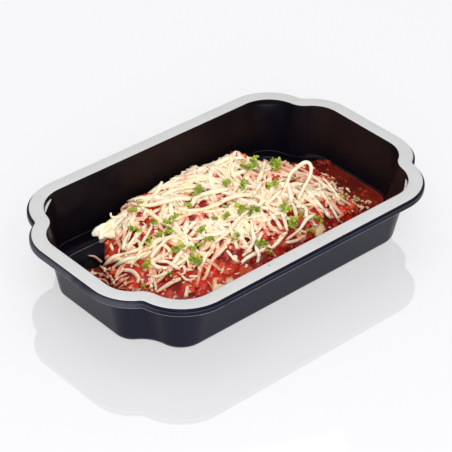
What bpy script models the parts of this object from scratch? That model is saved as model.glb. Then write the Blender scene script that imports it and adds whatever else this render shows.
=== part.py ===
"""Black moulded meal tray with a lobed rim, holding baked pasta in tomato sauce under grated cheese.

The tray stands on the table plane with its long axis along X. The origin is at the middle of its base.
"""

import math

import bmesh
import bpy
import numpy as np
from mathutils import Matrix, Vector

MM = 0.001

# Flange top, measured at its outer edge. Offsets below run inward from this edge.
TOP_LENGTH = 218.3 * MM
TOP_WIDTH = 136.4 * MM
HEIGHT = 37.6 * MM

# Each corner is two round lobes with a small round notch between them.
SIDE_LOBE_RADIUS = 28.6 * MM
SIDE_LOBE_FROM_END = 41.7 * MM
END_LOBE_RADIUS = 25.5 * MM
END_LOBE_FROM_SIDE = 47.0 * MM
NOTCH_RADIUS = 4.3 * MM
SIDE_LOBE_STEPS = 7
END_LOBE_STEPS = 5
NOTCH_STEPS = 3

FLANGE_WIDTH = 7.95 * MM
WALL = 0.83 * MM
FLANGE_THICKNESS = 0.8 * MM
DRAFT = 0.19
BOTTOM_ROUND = 5.0 * MM
FLOOR = WALL
SKIRT_STEP = 1.1 * MM
SKIRT_STEP_DEPTH = 1.6 * MM
SKIRT_DEPTH = 4.1 * MM

# A flat across part of each side lobe leaves a small crescent shelf below the rim, on which trays nest.
SHELF_DEPTH = 2.6 * MM
SHELF_FROM = math.radians(16)
SHELF_TO = math.radians(60)

# Food: plan outline about its middle, and heights above the table.
GAP = 0.3 * MM
FOOD_MIDDLE = (-1.0 * MM, 1.0 * MM)
FOOD_HALF_LENGTH = 79.0 * MM
FOOD_HALF_WIDTH = 44.0 * MM
FOOD_SQUARENESS = 2.7
FOOD_UNDERSIDE = FLOOR + GAP
FOOT_HEIGHT = 7.4 * MM
CREST_LEFT = 22.0 * MM
CREST_RIGHT = 29.2 * MM
CREST_RISE_FROM = -72.0 * MM
CREST_RISE_RUN = 62.0 * MM
DOME_POWER = 4.5
DOME_ROOT = 0.68
BACK_POWER = 8.0
BACK_ROOT = 0.45
FRONT_FALL = 7.0 * MM
RIGHT_FALL = 7.0 * MM
RIGHT_FALL_FROM = 36.0 * MM
RIGHT_FALL_RUN = 45.0 * MM
LUMP_HEIGHT = 0.36 * MM
FOOD_SPOKES = 44
FOOD_RINGS = 8

# Where the foot stands further out or in than its oval: direction in degrees, share of the reach, spread in degrees.
FOOT_BUMPS = ((162, -0.105, 15), (92, 0.06, 40), (13, 0.065, 8), (-23, 0.055, 11))

SAUCE_LEVEL = 7.0 * MM
SAUCE_FROM = math.radians(17.5)
SAUCE_SWEEP = math.radians(220)
SAUCE_STATIONS = 64

# Pasta sheet: runs through the food and shows at its left back corner.
SHEET_LEFT = -60.5 * MM
SHEET_RIGHT = 44.0 * MM
SHEET_BACK_TRIM = 11.0 * MM
SHEET_FRONT = -24.0 * MM
SHEET_BACK = 41.0 * MM
SHEET_THICKNESS = 1.7 * MM
SHEET_LOW = 15.5 * MM
SHEET_RISE = 9.5 * MM
SHEET_COVER = 5.4 * MM
SHEET_WAVE = 1.1 * MM
BARE_LINE = (-62.0 * MM, 28.0 * MM, 0.33)

STRAND_COUNT = 64
STRAND_WIDTH = 2.4 * MM
STRAND_THICKNESS = 1.9 * MM
STRAND_LENGTHS = (18.0 * MM, 34.0 * MM)
STRAND_STEPS = 3

PARSLEY_LEAF = 4.2 * MM
PARSLEY_THICKNESS = 0.8 * MM
PARSLEY_RIM = 6
PARSLEY_PLACES = (
    (28, 27), (41, 14), (10, 20), (22, 2), (-20, 18), (-38, 16),
    (-30, 0), (-12, 8), (48, -6), (34, -20), (-52, 4),
    (-8, -22), (58, 8),
)
TOMATO_SIZE = 3.4 * MM
TOMATO_PLACES = ((-24, 32), (-66, -4), (30, -30), (8, -36), (-28, -30), (62, -18))

CRUMB_SIZE = 1.5 * MM
CRUMB_PLACES = ((84, 3), (86, -9), (83, -17), (88, -24), (82, -30), (-80, 14), (-84, 2))


def remove_all_objects():
    for item in list(bpy.data.objects):
        bpy.data.objects.remove(item, do_unlink=True)


def new_collection(name):
    collection = bpy.data.collections.new(name)
    bpy.context.scene.collection.children.link(collection)
    return collection


def material(name, colour, roughness, metallic=0.0):
    made = bpy.data.materials.new(name)
    made.use_nodes = True
    shader = made.node_tree.nodes["Principled BSDF"]
    shader.inputs["Base Color"].default_value = (*colour, 1.0)
    shader.inputs["Roughness"].default_value = roughness
    shader.inputs["Metallic"].default_value = metallic
    return made


def object_from(name, points, faces, collection, finish=None):
    """One object from points and faces, both given by the rule that shaped them."""
    mesh = bpy.data.meshes.new(name)
    mesh.from_pydata([tuple(p) for p in points], [], [tuple(f) for f in faces])
    mesh.validate()
    made = bpy.data.objects.new(name, mesh)
    collection.objects.link(made)
    if finish:
        mesh.materials.append(finish)
    return made


def smooth_step(t):
    t = np.clip(t, 0.0, 1.0)
    return t * t * (3.0 - 2.0 * t)


def corner_circles():
    """Centres of the side lobe, end lobe and notch, as distances from the end line and the side line."""
    side = Vector((SIDE_LOBE_FROM_END, SIDE_LOBE_RADIUS))
    end = Vector((END_LOBE_RADIUS, END_LOBE_FROM_SIDE))
    reach_side = SIDE_LOBE_RADIUS + NOTCH_RADIUS
    reach_end = END_LOBE_RADIUS + NOTCH_RADIUS
    span = (end - side).length
    along = (end - side) / span
    across = Vector((-along.y, along.x))
    if across.x + across.y > 0:
        across = -across
    forward = (reach_side ** 2 - reach_end ** 2 + span ** 2) / (2 * span)
    sideways = math.sqrt(reach_side ** 2 - forward ** 2)
    return side, end, side + along * forward + across * sideways


def shelf_cut(radius, angle):
    """How far the flat of the nesting shelf stands inside a lobe of this radius at this angle."""
    middle = (SHELF_FROM + SHELF_TO) / 2
    half = (SHELF_TO - SHELF_FROM) / 2
    turn = angle - middle
    if abs(turn) >= half:
        return 0.0
    return radius - radius * math.cos(half) / math.cos(turn)


def corner(offset, shelf):
    """Points of one corner from the end line round to the side line."""
    side, end, notch = corner_circles()
    to_side = (notch - side).normalized()
    to_end = (notch - end).normalized()
    side_angle = math.atan2(-to_side.x, -to_side.y)
    end_angle = math.atan2(-to_end.y, -to_end.x)
    points = []
    radius = END_LOBE_RADIUS - offset
    for step in range(END_LOBE_STEPS + 1):
        turn = end_angle * step / END_LOBE_STEPS
        points.append(end - radius * Vector((math.cos(turn), math.sin(turn))))
    radius = NOTCH_RADIUS + offset
    first = math.atan2(-to_end.y, -to_end.x)
    last = math.atan2(-to_side.y, -to_side.x)
    for step in range(1, NOTCH_STEPS):
        turn = first + (last - first) * step / NOTCH_STEPS
        points.append(notch + radius * Vector((math.cos(turn), math.sin(turn))))
    radius = SIDE_LOBE_RADIUS - offset
    for step in range(SIDE_LOBE_STEPS, -1, -1):
        turn = side_angle * step / SIDE_LOBE_STEPS
        inside = radius - shelf * shelf_cut(radius, turn)
        points.append(side - inside * Vector((math.sin(turn), math.cos(turn))))
    return points


def outline(offset, shelf=0.0):
    """The whole tray outline at an inward offset, anticlockwise, as rows of x and y."""
    points = []
    for sign_x, sign_y in ((1, 1), (-1, 1), (-1, -1), (1, -1)):
        part = [(sign_x * (TOP_LENGTH / 2 - p.x), sign_y * (TOP_WIDTH / 2 - p.y)) for p in corner(offset, shelf)]
        points.extend(part if sign_x == sign_y else part[::-1])
    return np.array(points)


def wall_offset(height, inside=0.0):
    """Inward offset of the inner wall's slope at a height above the table, or of a line this far inside it."""
    return FLANGE_WIDTH + DRAFT * (HEIGHT - height) + inside * math.hypot(1, DRAFT)


def bottom_round(radius, steps):
    """Offsets and heights down the round between wall and floor, whose middle all its radii share."""
    middle = wall_offset(BOTTOM_ROUND, BOTTOM_ROUND - WALL)
    slope = math.atan(DRAFT)
    points = []
    for step in range(steps + 1):
        turn = slope + (math.pi / 2 - slope) * step / steps
        points.append((middle - radius * math.cos(turn), BOTTOM_ROUND - radius * math.sin(turn)))
    return points


def tray_sections():
    """Offset, height and share of the nesting shelf, from the base up outside, over the rim and down inside."""
    under_flange = HEIGHT - FLANGE_THICKNESS
    lip = HEIGHT - SKIRT_DEPTH
    step = HEIGHT - SKIRT_STEP_DEPTH
    shelf = HEIGHT - SHELF_DEPTH
    edge = 0.4 * MM
    skin = 0.7 * MM
    outer_round = [(offset, height, 0) for offset, height in bottom_round(BOTTOM_ROUND, 4)[::-1]]
    inner_round = [(offset, height, 0) for offset, height in bottom_round(BOTTOM_ROUND - WALL, 4)]
    sections = [
        *outer_round,
        (wall_offset(under_flange, -WALL) - 0.1 * MM, under_flange - 0.3 * MM, 0),
        (wall_offset(under_flange, -WALL) - 0.6 * MM, under_flange, 0),
        (skin + 0.2 * MM, under_flange, 0),
        (skin, step - skin, 0),
        (skin - SKIRT_STEP, step - 1.2 * skin, 0),
        (skin - SKIRT_STEP, lip, 0),
        (-SKIRT_STEP, lip, 0),
        (-SKIRT_STEP + 0.05 * MM, step - 0.3 * MM, 0),
        (-SKIRT_STEP + 0.25 * MM, step, 0),
        (0.0, step + 0.1 * MM, 0),
        (0.0, HEIGHT - edge, 0),
        (edge, HEIGHT, 0),
        (FLANGE_WIDTH - edge, HEIGHT, 0),
        (wall_offset(HEIGHT - edge), HEIGHT - edge, 0),
        (wall_offset(shelf), shelf, 0),
        (wall_offset(shelf), shelf - 0.1 * MM, 1),
        (wall_offset(shelf - 10 * MM), shelf - 10 * MM, 0.75),
        (wall_offset(shelf - 20 * MM), shelf - 20 * MM, 0.25),
        *inner_round,
    ]
    return sections


def make_tray(collection, finish):
    rings = []
    for offset, height, shelf in tray_sections():
        flat = outline(offset, shelf)
        rings.append(np.column_stack([flat, np.full(len(flat), height)]))
    count = len(rings[0])
    faces = [list(range(count))[::-1]]
    for ring in range(len(rings) - 1):
        low = ring * count
        for k in range(count):
            after = (k + 1) % count
            faces.append((low + k, low + after, low + count + after, low + count + k))
    faces.append([(len(rings) - 1) * count + k for k in range(count)])
    return object_from("tray", np.concatenate(rings), faces, collection, finish)


def foot_radius(angle):
    """Plan distance from the food's middle to its foot, a squared oval with an uneven edge."""
    oval = (np.abs(np.cos(angle)) / FOOD_HALF_LENGTH) ** FOOD_SQUARENESS
    oval = oval + (np.abs(np.sin(angle)) / FOOD_HALF_WIDTH) ** FOOD_SQUARENESS
    uneven = 1 + 0.010 * np.sin(3 * angle + 0.6) + 0.010 * np.sin(5 * angle + 2.1) + 0.008 * np.sin(9 * angle)
    for direction, share, spread in FOOT_BUMPS:
        away = (np.degrees(angle) - direction + 180) % 360 - 180
        uneven = uneven + share * np.exp(-((away / spread) ** 2))
    return oval ** (-1 / FOOD_SQUARENESS) * uneven


def lumps(x, y):
    """Low waves in several directions, which leave the food unevenly domed."""
    total = np.zeros_like(x)
    for number in range(7):
        wave = (27.0 - 2.1 * number) * MM
        heading = 2.4 * number
        total += np.sin((x * math.cos(heading) + y * math.sin(heading)) * 2 * math.pi / wave + 1.7 * number)
    return total * LUMP_HEIGHT


def food_height(x, y, lumpy=1.0):
    """Height of the bare food above the table: a flat-topped dome, steep at the back, lower at both ends and the front."""
    x, y = np.asarray(x, float), np.asarray(y, float)
    away_x, away_y = x - FOOD_MIDDLE[0], y - FOOD_MIDDLE[1]
    angle = np.arctan2(away_y, away_x)
    share = np.hypot(away_x, away_y) / foot_radius(angle)
    back = smooth_step(2 * np.sin(angle) - 0.6)
    power = DOME_POWER + (BACK_POWER - DOME_POWER) * back
    root = DOME_ROOT + (BACK_ROOT - DOME_ROOT) * back
    dome = np.clip(1 - share ** power, 0, 1) ** root
    crest = CREST_LEFT + (CREST_RIGHT - CREST_LEFT) * smooth_step((x - CREST_RISE_FROM) / CREST_RISE_RUN)
    crest = crest - FRONT_FALL * smooth_step(-away_y / FOOD_HALF_WIDTH)
    crest = crest - RIGHT_FALL * smooth_step((x - RIGHT_FALL_FROM) / RIGHT_FALL_RUN)
    return FOOT_HEIGHT + (crest - FOOT_HEIGHT + lumpy * lumps(x, y)) * dome


def make_food_core(collection, finish):
    """The heap as one solid: spokes and rings under the dome, a short upright foot and a flat underside."""
    angles = np.linspace(0, 2 * math.pi, FOOD_SPOKES, endpoint=False)
    shares = 1 - (1 - np.linspace(0, 1, FOOD_RINGS + 1)[1:]) ** 1.5
    reach = foot_radius(angles)
    points = [(*FOOD_MIDDLE, float(food_height(*FOOD_MIDDLE)))]
    for share in shares:
        x = FOOD_MIDDLE[0] + share * reach * np.cos(angles)
        y = FOOD_MIDDLE[1] + share * reach * np.sin(angles)
        points.extend(zip(x, y, food_height(x, y)))
    x = FOOD_MIDDLE[0] + reach * np.cos(angles)
    y = FOOD_MIDDLE[1] + reach * np.sin(angles)
    points.extend(zip(x, y, np.full(FOOD_SPOKES, FOOD_UNDERSIDE)))
    faces = []
    for k in range(FOOD_SPOKES):
        after = (k + 1) % FOOD_SPOKES
        faces.append((0, 1 + k, 1 + after))
        for ring in range(FOOD_RINGS):
            low = 1 + ring * FOOD_SPOKES
            faces.append((low + k, low + FOOD_SPOKES + k, low + FOOD_SPOKES + after))
            faces.append((low + k, low + FOOD_SPOKES + after, low + after))
    last = 1 + FOOD_RINGS * FOOD_SPOKES
    faces.append([last + k for k in range(FOOD_SPOKES)][::-1])
    return object_from("cheesy_bake", points, faces, collection, finish)


def bare_side(x, y):
    """How far a place lies beyond the line past which nothing covers the pasta sheet."""
    start_x, start_y, slope = BARE_LINE
    return (y - start_y) - slope * (x - start_x)


def sheet_height(x, y):
    """Middle of the pasta sheet: well under the topping inside, and on its own wavy rise where it is bare."""
    own = SHEET_LOW + SHEET_RISE * smooth_step((x - SHEET_LEFT) / (42 * MM))
    own = own - 30.0 * np.clip(y - 34 * MM, 0, None) ** 2 / (1 * MM) * 0.001
    own = own + SHEET_WAVE * np.sin(y / (3.1 * MM)) * (1 - smooth_step((x - SHEET_LEFT) / (20 * MM)))
    covered = np.minimum(own, food_height(x, y, 0.0) - SHEET_COVER)
    share = smooth_step((bare_side(x, y) + 7 * MM) / (7 * MM))
    return covered + (own - covered) * share


def sheet_grid(grow):
    """Plan places of the sheet's grid, with a wavy left edge, grown all round by a margin."""
    u = np.linspace(0, 1, 15)
    v = np.linspace(0, 1, 10)
    u, v = np.meshgrid(u, v, indexing="ij")
    y = SHEET_FRONT - grow + v * (SHEET_BACK - SHEET_FRONT + 2 * grow)
    left = SHEET_LEFT - grow + 1.6 * MM * np.sin(y / (4.2 * MM))
    right = SHEET_RIGHT + grow
    front_trim = 26 * MM * (1 - v) * (1 - u) ** 2
    x = left + u * (right - left) + front_trim
    return x, y - SHEET_BACK_TRIM * v * smooth_step(u)


def slab(name, x, y, lower, upper, collection, finish=None):
    """A closed solid between two height fields over one grid, both faces split into triangles alike."""
    rows, columns = x.shape
    count = rows * columns
    index = np.arange(count).reshape(rows, columns)
    points = np.concatenate([np.column_stack([x.ravel(), y.ravel(), z.ravel()]) for z in (lower, upper)])
    faces = []
    for i in range(rows - 1):
        for j in range(columns - 1):
            a, b, c, d = index[i, j], index[i + 1, j], index[i + 1, j + 1], index[i, j + 1]
            faces += [(a + count, b + count, c + count), (a + count, c + count, d + count)]
            faces += [(c, b, a), (d, c, a)]
    rim = [*index[:, 0], *index[-1, 1:], *index[-2::-1, -1], *index[0, -2:0:-1]]
    for k, start in enumerate(rim):
        after = rim[(k + 1) % len(rim)]
        faces.append((start, after, after + count, start + count))
    return object_from(name, points, faces, collection, finish)


def make_pasta_sheet(collection, finish):
    x, y = sheet_grid(0.0)
    middle = sheet_height(x, y)
    half = SHEET_THICKNESS / 2
    return slab("pasta_sheet", x, y, middle - half, middle + half, collection, finish)


def make_sheet_slot(collection):
    """The room that the sheet takes in the heap, open above it where the sheet is bare."""
    x, y = sheet_grid(0.5 * MM)
    middle = sheet_height(x, y)
    half = SHEET_THICKNESS / 2 + 2.5 * GAP
    open_above = 26 * MM * smooth_step(bare_side(x, y) / (2 * MM))
    return slab("sheet_slot", x, y, middle - half, middle + half + open_above, collection)


def reach_to(ring, angle):
    """Distance from the food's middle to a closed outline in one direction."""
    ray = np.array([math.cos(angle), math.sin(angle)])
    start = ring - np.array(FOOD_MIDDLE)
    edge = np.roll(start, -1, axis=0) - start
    bottom = ray[0] * edge[:, 1] - ray[1] * edge[:, 0]
    bottom = np.where(np.abs(bottom) < 1e-12, 1e-12, bottom)
    away = (start[:, 0] * edge[:, 1] - start[:, 1] * edge[:, 0]) / bottom
    along = (start[:, 0] * ray[1] - start[:, 1] * ray[0]) / bottom
    hits = away[(along >= -1e-9) & (along <= 1 + 1e-9) & (away > 0)]
    return float(hits.min())


def make_sauce(collection, finish):
    """Pool of sauce round the right end, the front and the left end, between the food's foot and the wall."""
    wall = bottom_round(BOTTOM_ROUND - WALL - 1.8 * GAP, 3)[::-1]
    wall_lines = [outline(offset) for offset, height in wall]
    wall_top = outline(wall_offset(SAUCE_LEVEL, 2 * GAP))
    knee = wall[-1][1]
    points = []
    for station in range(SAUCE_STATIONS + 1):
        part = station / SAUCE_STATIONS
        angle = SAUCE_FROM - part * SAUCE_SWEEP
        nearness = min(part, 1 - part) * SAUCE_STATIONS / 3
        level = knee + 0.4 * MM + (SAUCE_LEVEL - knee - 0.4 * MM) * math.sqrt(min(nearness, 1.0))
        share = (level - knee) / (SAUCE_LEVEL - knee)
        inner = float(foot_radius(np.array(angle))) + GAP + 0.4 * MM
        top = reach_to(wall_lines[-1], angle) * (1 - share) + reach_to(wall_top, angle) * share
        section = [(inner, wall[0][1])]
        section += [(reach_to(line, angle), height) for line, (offset, height) in zip(wall_lines, wall)]
        section += [(top, level), (inner, level)]
        for distance, height in section:
            x = FOOD_MIDDLE[0] + distance * math.cos(angle)
            y = FOOD_MIDDLE[1] + distance * math.sin(angle)
            points.append((x, y, height))
    sides = len(wall) + 3
    faces = [list(range(sides))[::-1]]
    for station in range(SAUCE_STATIONS):
        low_index = station * sides
        for k in range(sides):
            after = (k + 1) % sides
            faces.append((low_index + k, low_index + after, low_index + sides + after, low_index + sides + k))
    faces.append([SAUCE_STATIONS * sides + k for k in range(sides)])
    return object_from("tomato_sauce", points, faces, collection, finish)


def surface_normal(x, y):
    step = 1.5 * MM
    slope_x = (food_height(x + step, y) - food_height(x - step, y)) / (2 * step)
    slope_y = (food_height(x, y + step) - food_height(x, y - step)) / (2 * step)
    return Vector((-float(slope_x), -float(slope_y), 1.0)).normalized()


def food_share(x, y):
    away_x, away_y = x - FOOD_MIDDLE[0], y - FOOD_MIDDLE[1]
    return math.hypot(away_x, away_y) / float(foot_radius(np.array(math.atan2(away_y, away_x))))


def fits_on_food(x, y):
    return food_share(x, y) < 0.93 and bare_side(x, y) < -9 * MM


def strip(name, path, normals, width, thickness, collection):
    """A shred: a four-sided bar carried along a path that lies on the food, narrower at both ends."""
    points = []
    for k, centre in enumerate(path):
        before, after = path[max(k - 1, 0)], path[min(k + 1, len(path) - 1)]
        along = (after - before).normalized()
        across = normals[k].cross(along).normalized()
        up = along.cross(across)
        narrow = 0.62 if k in (0, len(path) - 1) else 1.0
        half = across * width / 2 * narrow
        rise = up * thickness / 2 * narrow
        points += [centre - half - rise, centre + half - rise, centre + half + rise, centre - half + rise]
    faces = [(3, 2, 1, 0)]
    for k in range(len(path) - 1):
        low = k * 4
        for side in range(4):
            after = (side + 1) % 4
            faces.append((low + side, low + after, low + 4 + after, low + 4 + side))
    last = (len(path) - 1) * 4
    faces.append((last, last + 1, last + 2, last + 3))
    return object_from(name, points, faces, collection)


def scatter_strands(collection, draws):
    """Grated cheese, largest pieces first, spread evenly over the heap by a sunflower spiral."""
    lengths = np.sort(draws.uniform(*STRAND_LENGTHS, STRAND_COUNT))[::-1]
    order = draws.permutation(STRAND_COUNT)
    for number in range(STRAND_COUNT):
        spot = order[number]
        angle = spot * math.pi * (3 - math.sqrt(5))
        share = 0.92 * math.sqrt((spot + 0.5) / STRAND_COUNT)
        reach = share * float(foot_radius(np.array(angle)))
        x = FOOD_MIDDLE[0] + reach * math.cos(angle)
        y = FOOD_MIDDLE[1] + reach * math.sin(angle)
        heading = draws.uniform(0, math.pi)
        bend = draws.uniform(-1.1, 1.1)
        lift = draws.uniform(0.3, 0.8) * STRAND_THICKNESS
        width = STRAND_WIDTH * draws.uniform(0.8, 1.15)
        path, normals = [], []
        for step in range(STRAND_STEPS + 1):
            part = step / STRAND_STEPS - 0.5
            turn = heading + bend * part
            px = x + lengths[number] * part * math.cos(turn)
            py = y + lengths[number] * part * math.sin(turn)
            if not fits_on_food(px, py):
                continue
            normal = surface_normal(px, py)
            path.append(Vector((px, py, float(food_height(px, py)))) + normal * lift)
            normals.append(normal)
        if len(path) >= 3:
            strip(f"strand_{number:03d}", path, normals, width, STRAND_THICKNESS, collection)


def leaf(name, centre, tilt, size, draws, collection):
    """A small lobed leaf, thin and wavy, with both faces split into triangles alike."""
    rim = PARSLEY_RIM
    half = PARSLEY_THICKNESS / 2
    points = []
    for side in (-1, 1):
        points.append(Vector((0, 0, side * half)))
    lift = draws.uniform(-0.22, 0.22, rim) * size
    for side in (-1, 1):
        for k in range(rim):
            angle = 2 * math.pi * k / rim
            reach = size * (1.0 if k % 2 else 0.62)
            points.append(Vector((reach * math.cos(angle), reach * math.sin(angle), lift[k] + side * half)))
    faces = []
    for k in range(rim):
        after = (k + 1) % rim
        faces.append((0, 2 + after, 2 + k))
        faces.append((1, 2 + rim + k, 2 + rim + after))
        faces.append((2 + k, 2 + after, 2 + rim + after, 2 + rim + k))
    placed = [centre + tilt @ p for p in points]
    return object_from(name, placed, faces, collection)


def scatter_parsley(collection, draws):
    for number, (x, y) in enumerate(PARSLEY_PLACES):
        x, y = x * MM, y * MM
        normal = surface_normal(x, y)
        base = Vector((x, y, float(food_height(x, y))))
        for blade in range(2):
            turn = Matrix.Rotation(draws.uniform(0, 2 * math.pi), 3, "Z")
            lean = Matrix.Rotation(draws.uniform(0.15, 0.5), 3, "X")
            upright = Vector((0, 0, 1)).rotation_difference(normal).to_matrix()
            centre = base + normal * (1.0 + 0.4 * blade) * MM
            leaf(f"leaf_{number:02d}_{blade}", centre, upright @ turn @ lean, PARSLEY_LEAF, draws, collection)


def lump(name, centre, size, draws, collection):
    """A small uneven chunk."""
    mesh = bmesh.new()
    bmesh.ops.create_icosphere(mesh, subdivisions=1, radius=1.0)
    spread = Vector((1.0, draws.uniform(0.65, 0.9), draws.uniform(0.5, 0.7)))
    turn = Matrix.Rotation(draws.uniform(0, math.pi), 3, "Z")
    points = []
    for vertex in mesh.verts:
        rough = draws.uniform(0.85, 1.1)
        points.append(centre + turn @ Vector([vertex.co[k] * spread[k] * size * rough for k in range(3)]))
    faces = [[v.index for v in face.verts] for face in mesh.faces]
    mesh.free()
    return object_from(name, points, faces, collection)


def scatter_tomato(collection, draws):
    for number, (x, y) in enumerate(TOMATO_PLACES):
        centre = Vector((x * MM, y * MM, float(food_height(x * MM, y * MM)) + 0.4 * MM))
        lump(f"tomato_{number}", centre, TOMATO_SIZE * draws.uniform(0.85, 1.15), draws, collection)


def scatter_crumbs(collection, draws):
    for number, (x, y) in enumerate(CRUMB_PLACES):
        centre = Vector((x * MM, y * MM, SAUCE_LEVEL + 0.2 * MM))
        lump(f"crumb_{number}", centre, CRUMB_SIZE * draws.uniform(0.8, 1.2), draws, collection)


def split_into_triangles(mesh):
    work = bmesh.new()
    work.from_mesh(mesh)
    bmesh.ops.triangulate(work, faces=work.faces)
    work.to_mesh(mesh)
    work.free()


def signed_volume(faces):
    total = 0.0
    for face in faces:
        corners = [v.co for v in face.verts]
        for k in range(1, len(corners) - 1):
            total += corners[0].dot(corners[k].cross(corners[k + 1])) / 6
    return total


def keep_main_body(mesh):
    """Fill the hollows that fusing has sealed and drop loose scraps, leaving the one large outer skin."""
    work = bmesh.new()
    work.from_mesh(mesh)
    left = set(work.faces)
    bodies = []
    while left:
        body = {left.pop()}
        edge_of_search = list(body)
        while edge_of_search:
            face = edge_of_search.pop()
            for edge in face.edges:
                for other in edge.link_faces:
                    if other in left:
                        left.remove(other)
                        body.add(other)
                        edge_of_search.append(other)
        bodies.append(body)
    bodies.sort(key=signed_volume, reverse=True)
    for body in bodies[1:]:
        bmesh.ops.delete(work, geom=list(body), context="FACES")
    loose = [v for v in work.verts if not v.link_faces]
    bmesh.ops.delete(work, geom=loose, context="VERTS")
    bmesh.ops.triangulate(work, faces=work.faces)
    work.to_mesh(mesh)
    work.free()


def apply_boolean(base, operation, solver, operand=None, collection=None):
    modifier = base.modifiers.new("join", "BOOLEAN")
    modifier.operation = operation
    modifier.solver = solver
    if collection:
        modifier.operand_type = "COLLECTION"
        modifier.collection = collection
    else:
        modifier.object = operand
    bpy.context.view_layer.update()
    graph = bpy.context.evaluated_depsgraph_get()
    made = bpy.data.meshes.new_from_object(base.evaluated_get(graph))
    base.modifiers.clear()
    base.data = made


def remove_collection(collection):
    for item in list(collection.objects):
        bpy.data.objects.remove(item, do_unlink=True)
    bpy.data.collections.remove(collection)


def fuse(base, pieces):
    """Join every piece of a collection to the base with one union, then keep the base alone."""
    for item in (base, *pieces.objects):
        split_into_triangles(item.data)
    apply_boolean(base, "UNION", "MANIFOLD", collection=pieces)
    keep_main_body(base.data)
    remove_collection(pieces)


def shade(item, degrees=35):
    item.data.shade_smooth()
    item.data.set_sharp_from_angle(angle=math.radians(degrees))


def build():
    remove_all_objects()
    draws = np.random.default_rng(11)
    meal = new_collection("tray_meal")
    cutters = new_collection("cutters")

    black = material("black_plastic", (0.022, 0.022, 0.03), 0.28)
    cheese = material("cheese_topping", (0.87, 0.70, 0.46), 0.45)
    sauce = material("tomato_sauce", (0.30, 0.022, 0.012), 0.25)
    pasta = material("pasta", (0.86, 0.78, 0.58), 0.4)

    tray = make_tray(meal, black)
    pool = make_sauce(meal, sauce)
    sheet = make_pasta_sheet(meal, pasta)
    bake = make_food_core(meal, cheese)

    slot = make_sheet_slot(cutters)
    slot.hide_render = True
    slot.display_type = "WIRE"
    apply_boolean(bake, "DIFFERENCE", "EXACT", operand=slot)
    remove_collection(cutters)

    toppings = new_collection("toppings")
    scatter_strands(toppings, draws)
    scatter_parsley(toppings, draws)
    scatter_tomato(toppings, draws)
    fuse(bake, toppings)

    crumbs = new_collection("crumbs")
    scatter_crumbs(crumbs, draws)
    fuse(pool, crumbs)

    for item in (tray, pool, sheet, bake):
        shade(item)


build()
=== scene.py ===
import math

import bpy
import numpy as np
from mathutils import Matrix


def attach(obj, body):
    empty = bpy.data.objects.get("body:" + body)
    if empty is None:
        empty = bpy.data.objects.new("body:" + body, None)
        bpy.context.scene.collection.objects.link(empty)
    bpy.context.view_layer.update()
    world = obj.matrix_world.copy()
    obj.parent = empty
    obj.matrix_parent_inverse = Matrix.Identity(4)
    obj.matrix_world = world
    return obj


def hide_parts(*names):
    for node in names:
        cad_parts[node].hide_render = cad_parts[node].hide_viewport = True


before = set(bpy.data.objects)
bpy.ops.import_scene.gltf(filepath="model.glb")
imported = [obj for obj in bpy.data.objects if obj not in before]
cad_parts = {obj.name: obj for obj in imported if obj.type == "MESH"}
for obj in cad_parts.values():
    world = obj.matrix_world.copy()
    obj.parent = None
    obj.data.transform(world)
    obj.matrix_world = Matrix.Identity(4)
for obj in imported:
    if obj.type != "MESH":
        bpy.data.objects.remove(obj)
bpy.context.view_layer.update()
mm = 0.001
draws = np.random.default_rng(52)
print("frame loaded:", sorted(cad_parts))

# The camera stands where the photograph's perspective puts it, in units of its distance from the tray.
view = dict(
    pixels=452, focal=1904.0, sensor=36.0, distance=218.3 * mm / 0.38200670,
    place=(-0.997795, -1.082320), above=37.6 * mm,
    right=(0.74520867, -0.66653707, 0.01980828),
    up=(0.37255585, 0.44079779, 0.81663911),
    back=(-0.55305169, -0.60118686, 0.57680862),
)
eye = np.array([*view["place"], 1.0]) * view["distance"] + [0.0, 0.0, view["above"]]


def throughPixel(u, v, z):
    # the point at height z on the line from the eye through a pixel: eye + reach * direction
    u, v = np.asarray(u, float), np.asarray(v, float)
    half = view["pixels"] / 2
    side = ((u - half) / view["focal"])[..., None] * np.array(view["right"])
    drop = ((v - half) / view["focal"])[..., None] * np.array(view["up"])
    line = side - drop - np.array(view["back"])
    reach = (z - eye[2]) / line[..., 2]
    return eye[0] + reach * line[..., 0], eye[1] + reach * line[..., 1]


def setUp(item, right, up, back, place):
    # the columns of its matrix are a camera's or light's own axes and its place
    columns = [right, up, back, place]
    rows = [[float(column[row]) for column in columns] for row in range(3)]
    item.matrix_world = Matrix(rows + [[0, 0, 0, 1]])
    bpy.context.scene.collection.objects.link(item)


def makeCamera():
    data = bpy.data.cameras.new("camera")
    data.sensor_width = view["sensor"]
    data.lens = view["focal"] / view["pixels"] * view["sensor"]
    data.clip_start, data.clip_end = 0.01, 20
    camera = bpy.data.objects.new("camera", data)
    setUp(camera, view["right"], view["up"], view["back"], eye)
    bpy.context.scene.camera = camera
    bpy.context.scene.view_settings.view_transform = "Standard"


def smoothStep(t):
    t = np.clip(t, 0.0, 1.0)
    return t * t * (3 - 2 * t)


def mix(first, second, share):
    return first + (second - first) * share


def runAlong(x, y, heading):
    return x * math.cos(heading) + y * math.sin(heading)


def anglesRound(count):
    return np.arange(count) / count * math.tau


def unit(vectors):
    return vectors / np.maximum(np.linalg.norm(vectors, axis=-1, keepdims=True), 1e-12)


def asRows(*parts):
    # points as rows of x, y, z from three grids of like form
    return np.stack(np.broadcast_arrays(*parts), -1).reshape(-1, 3)


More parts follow.
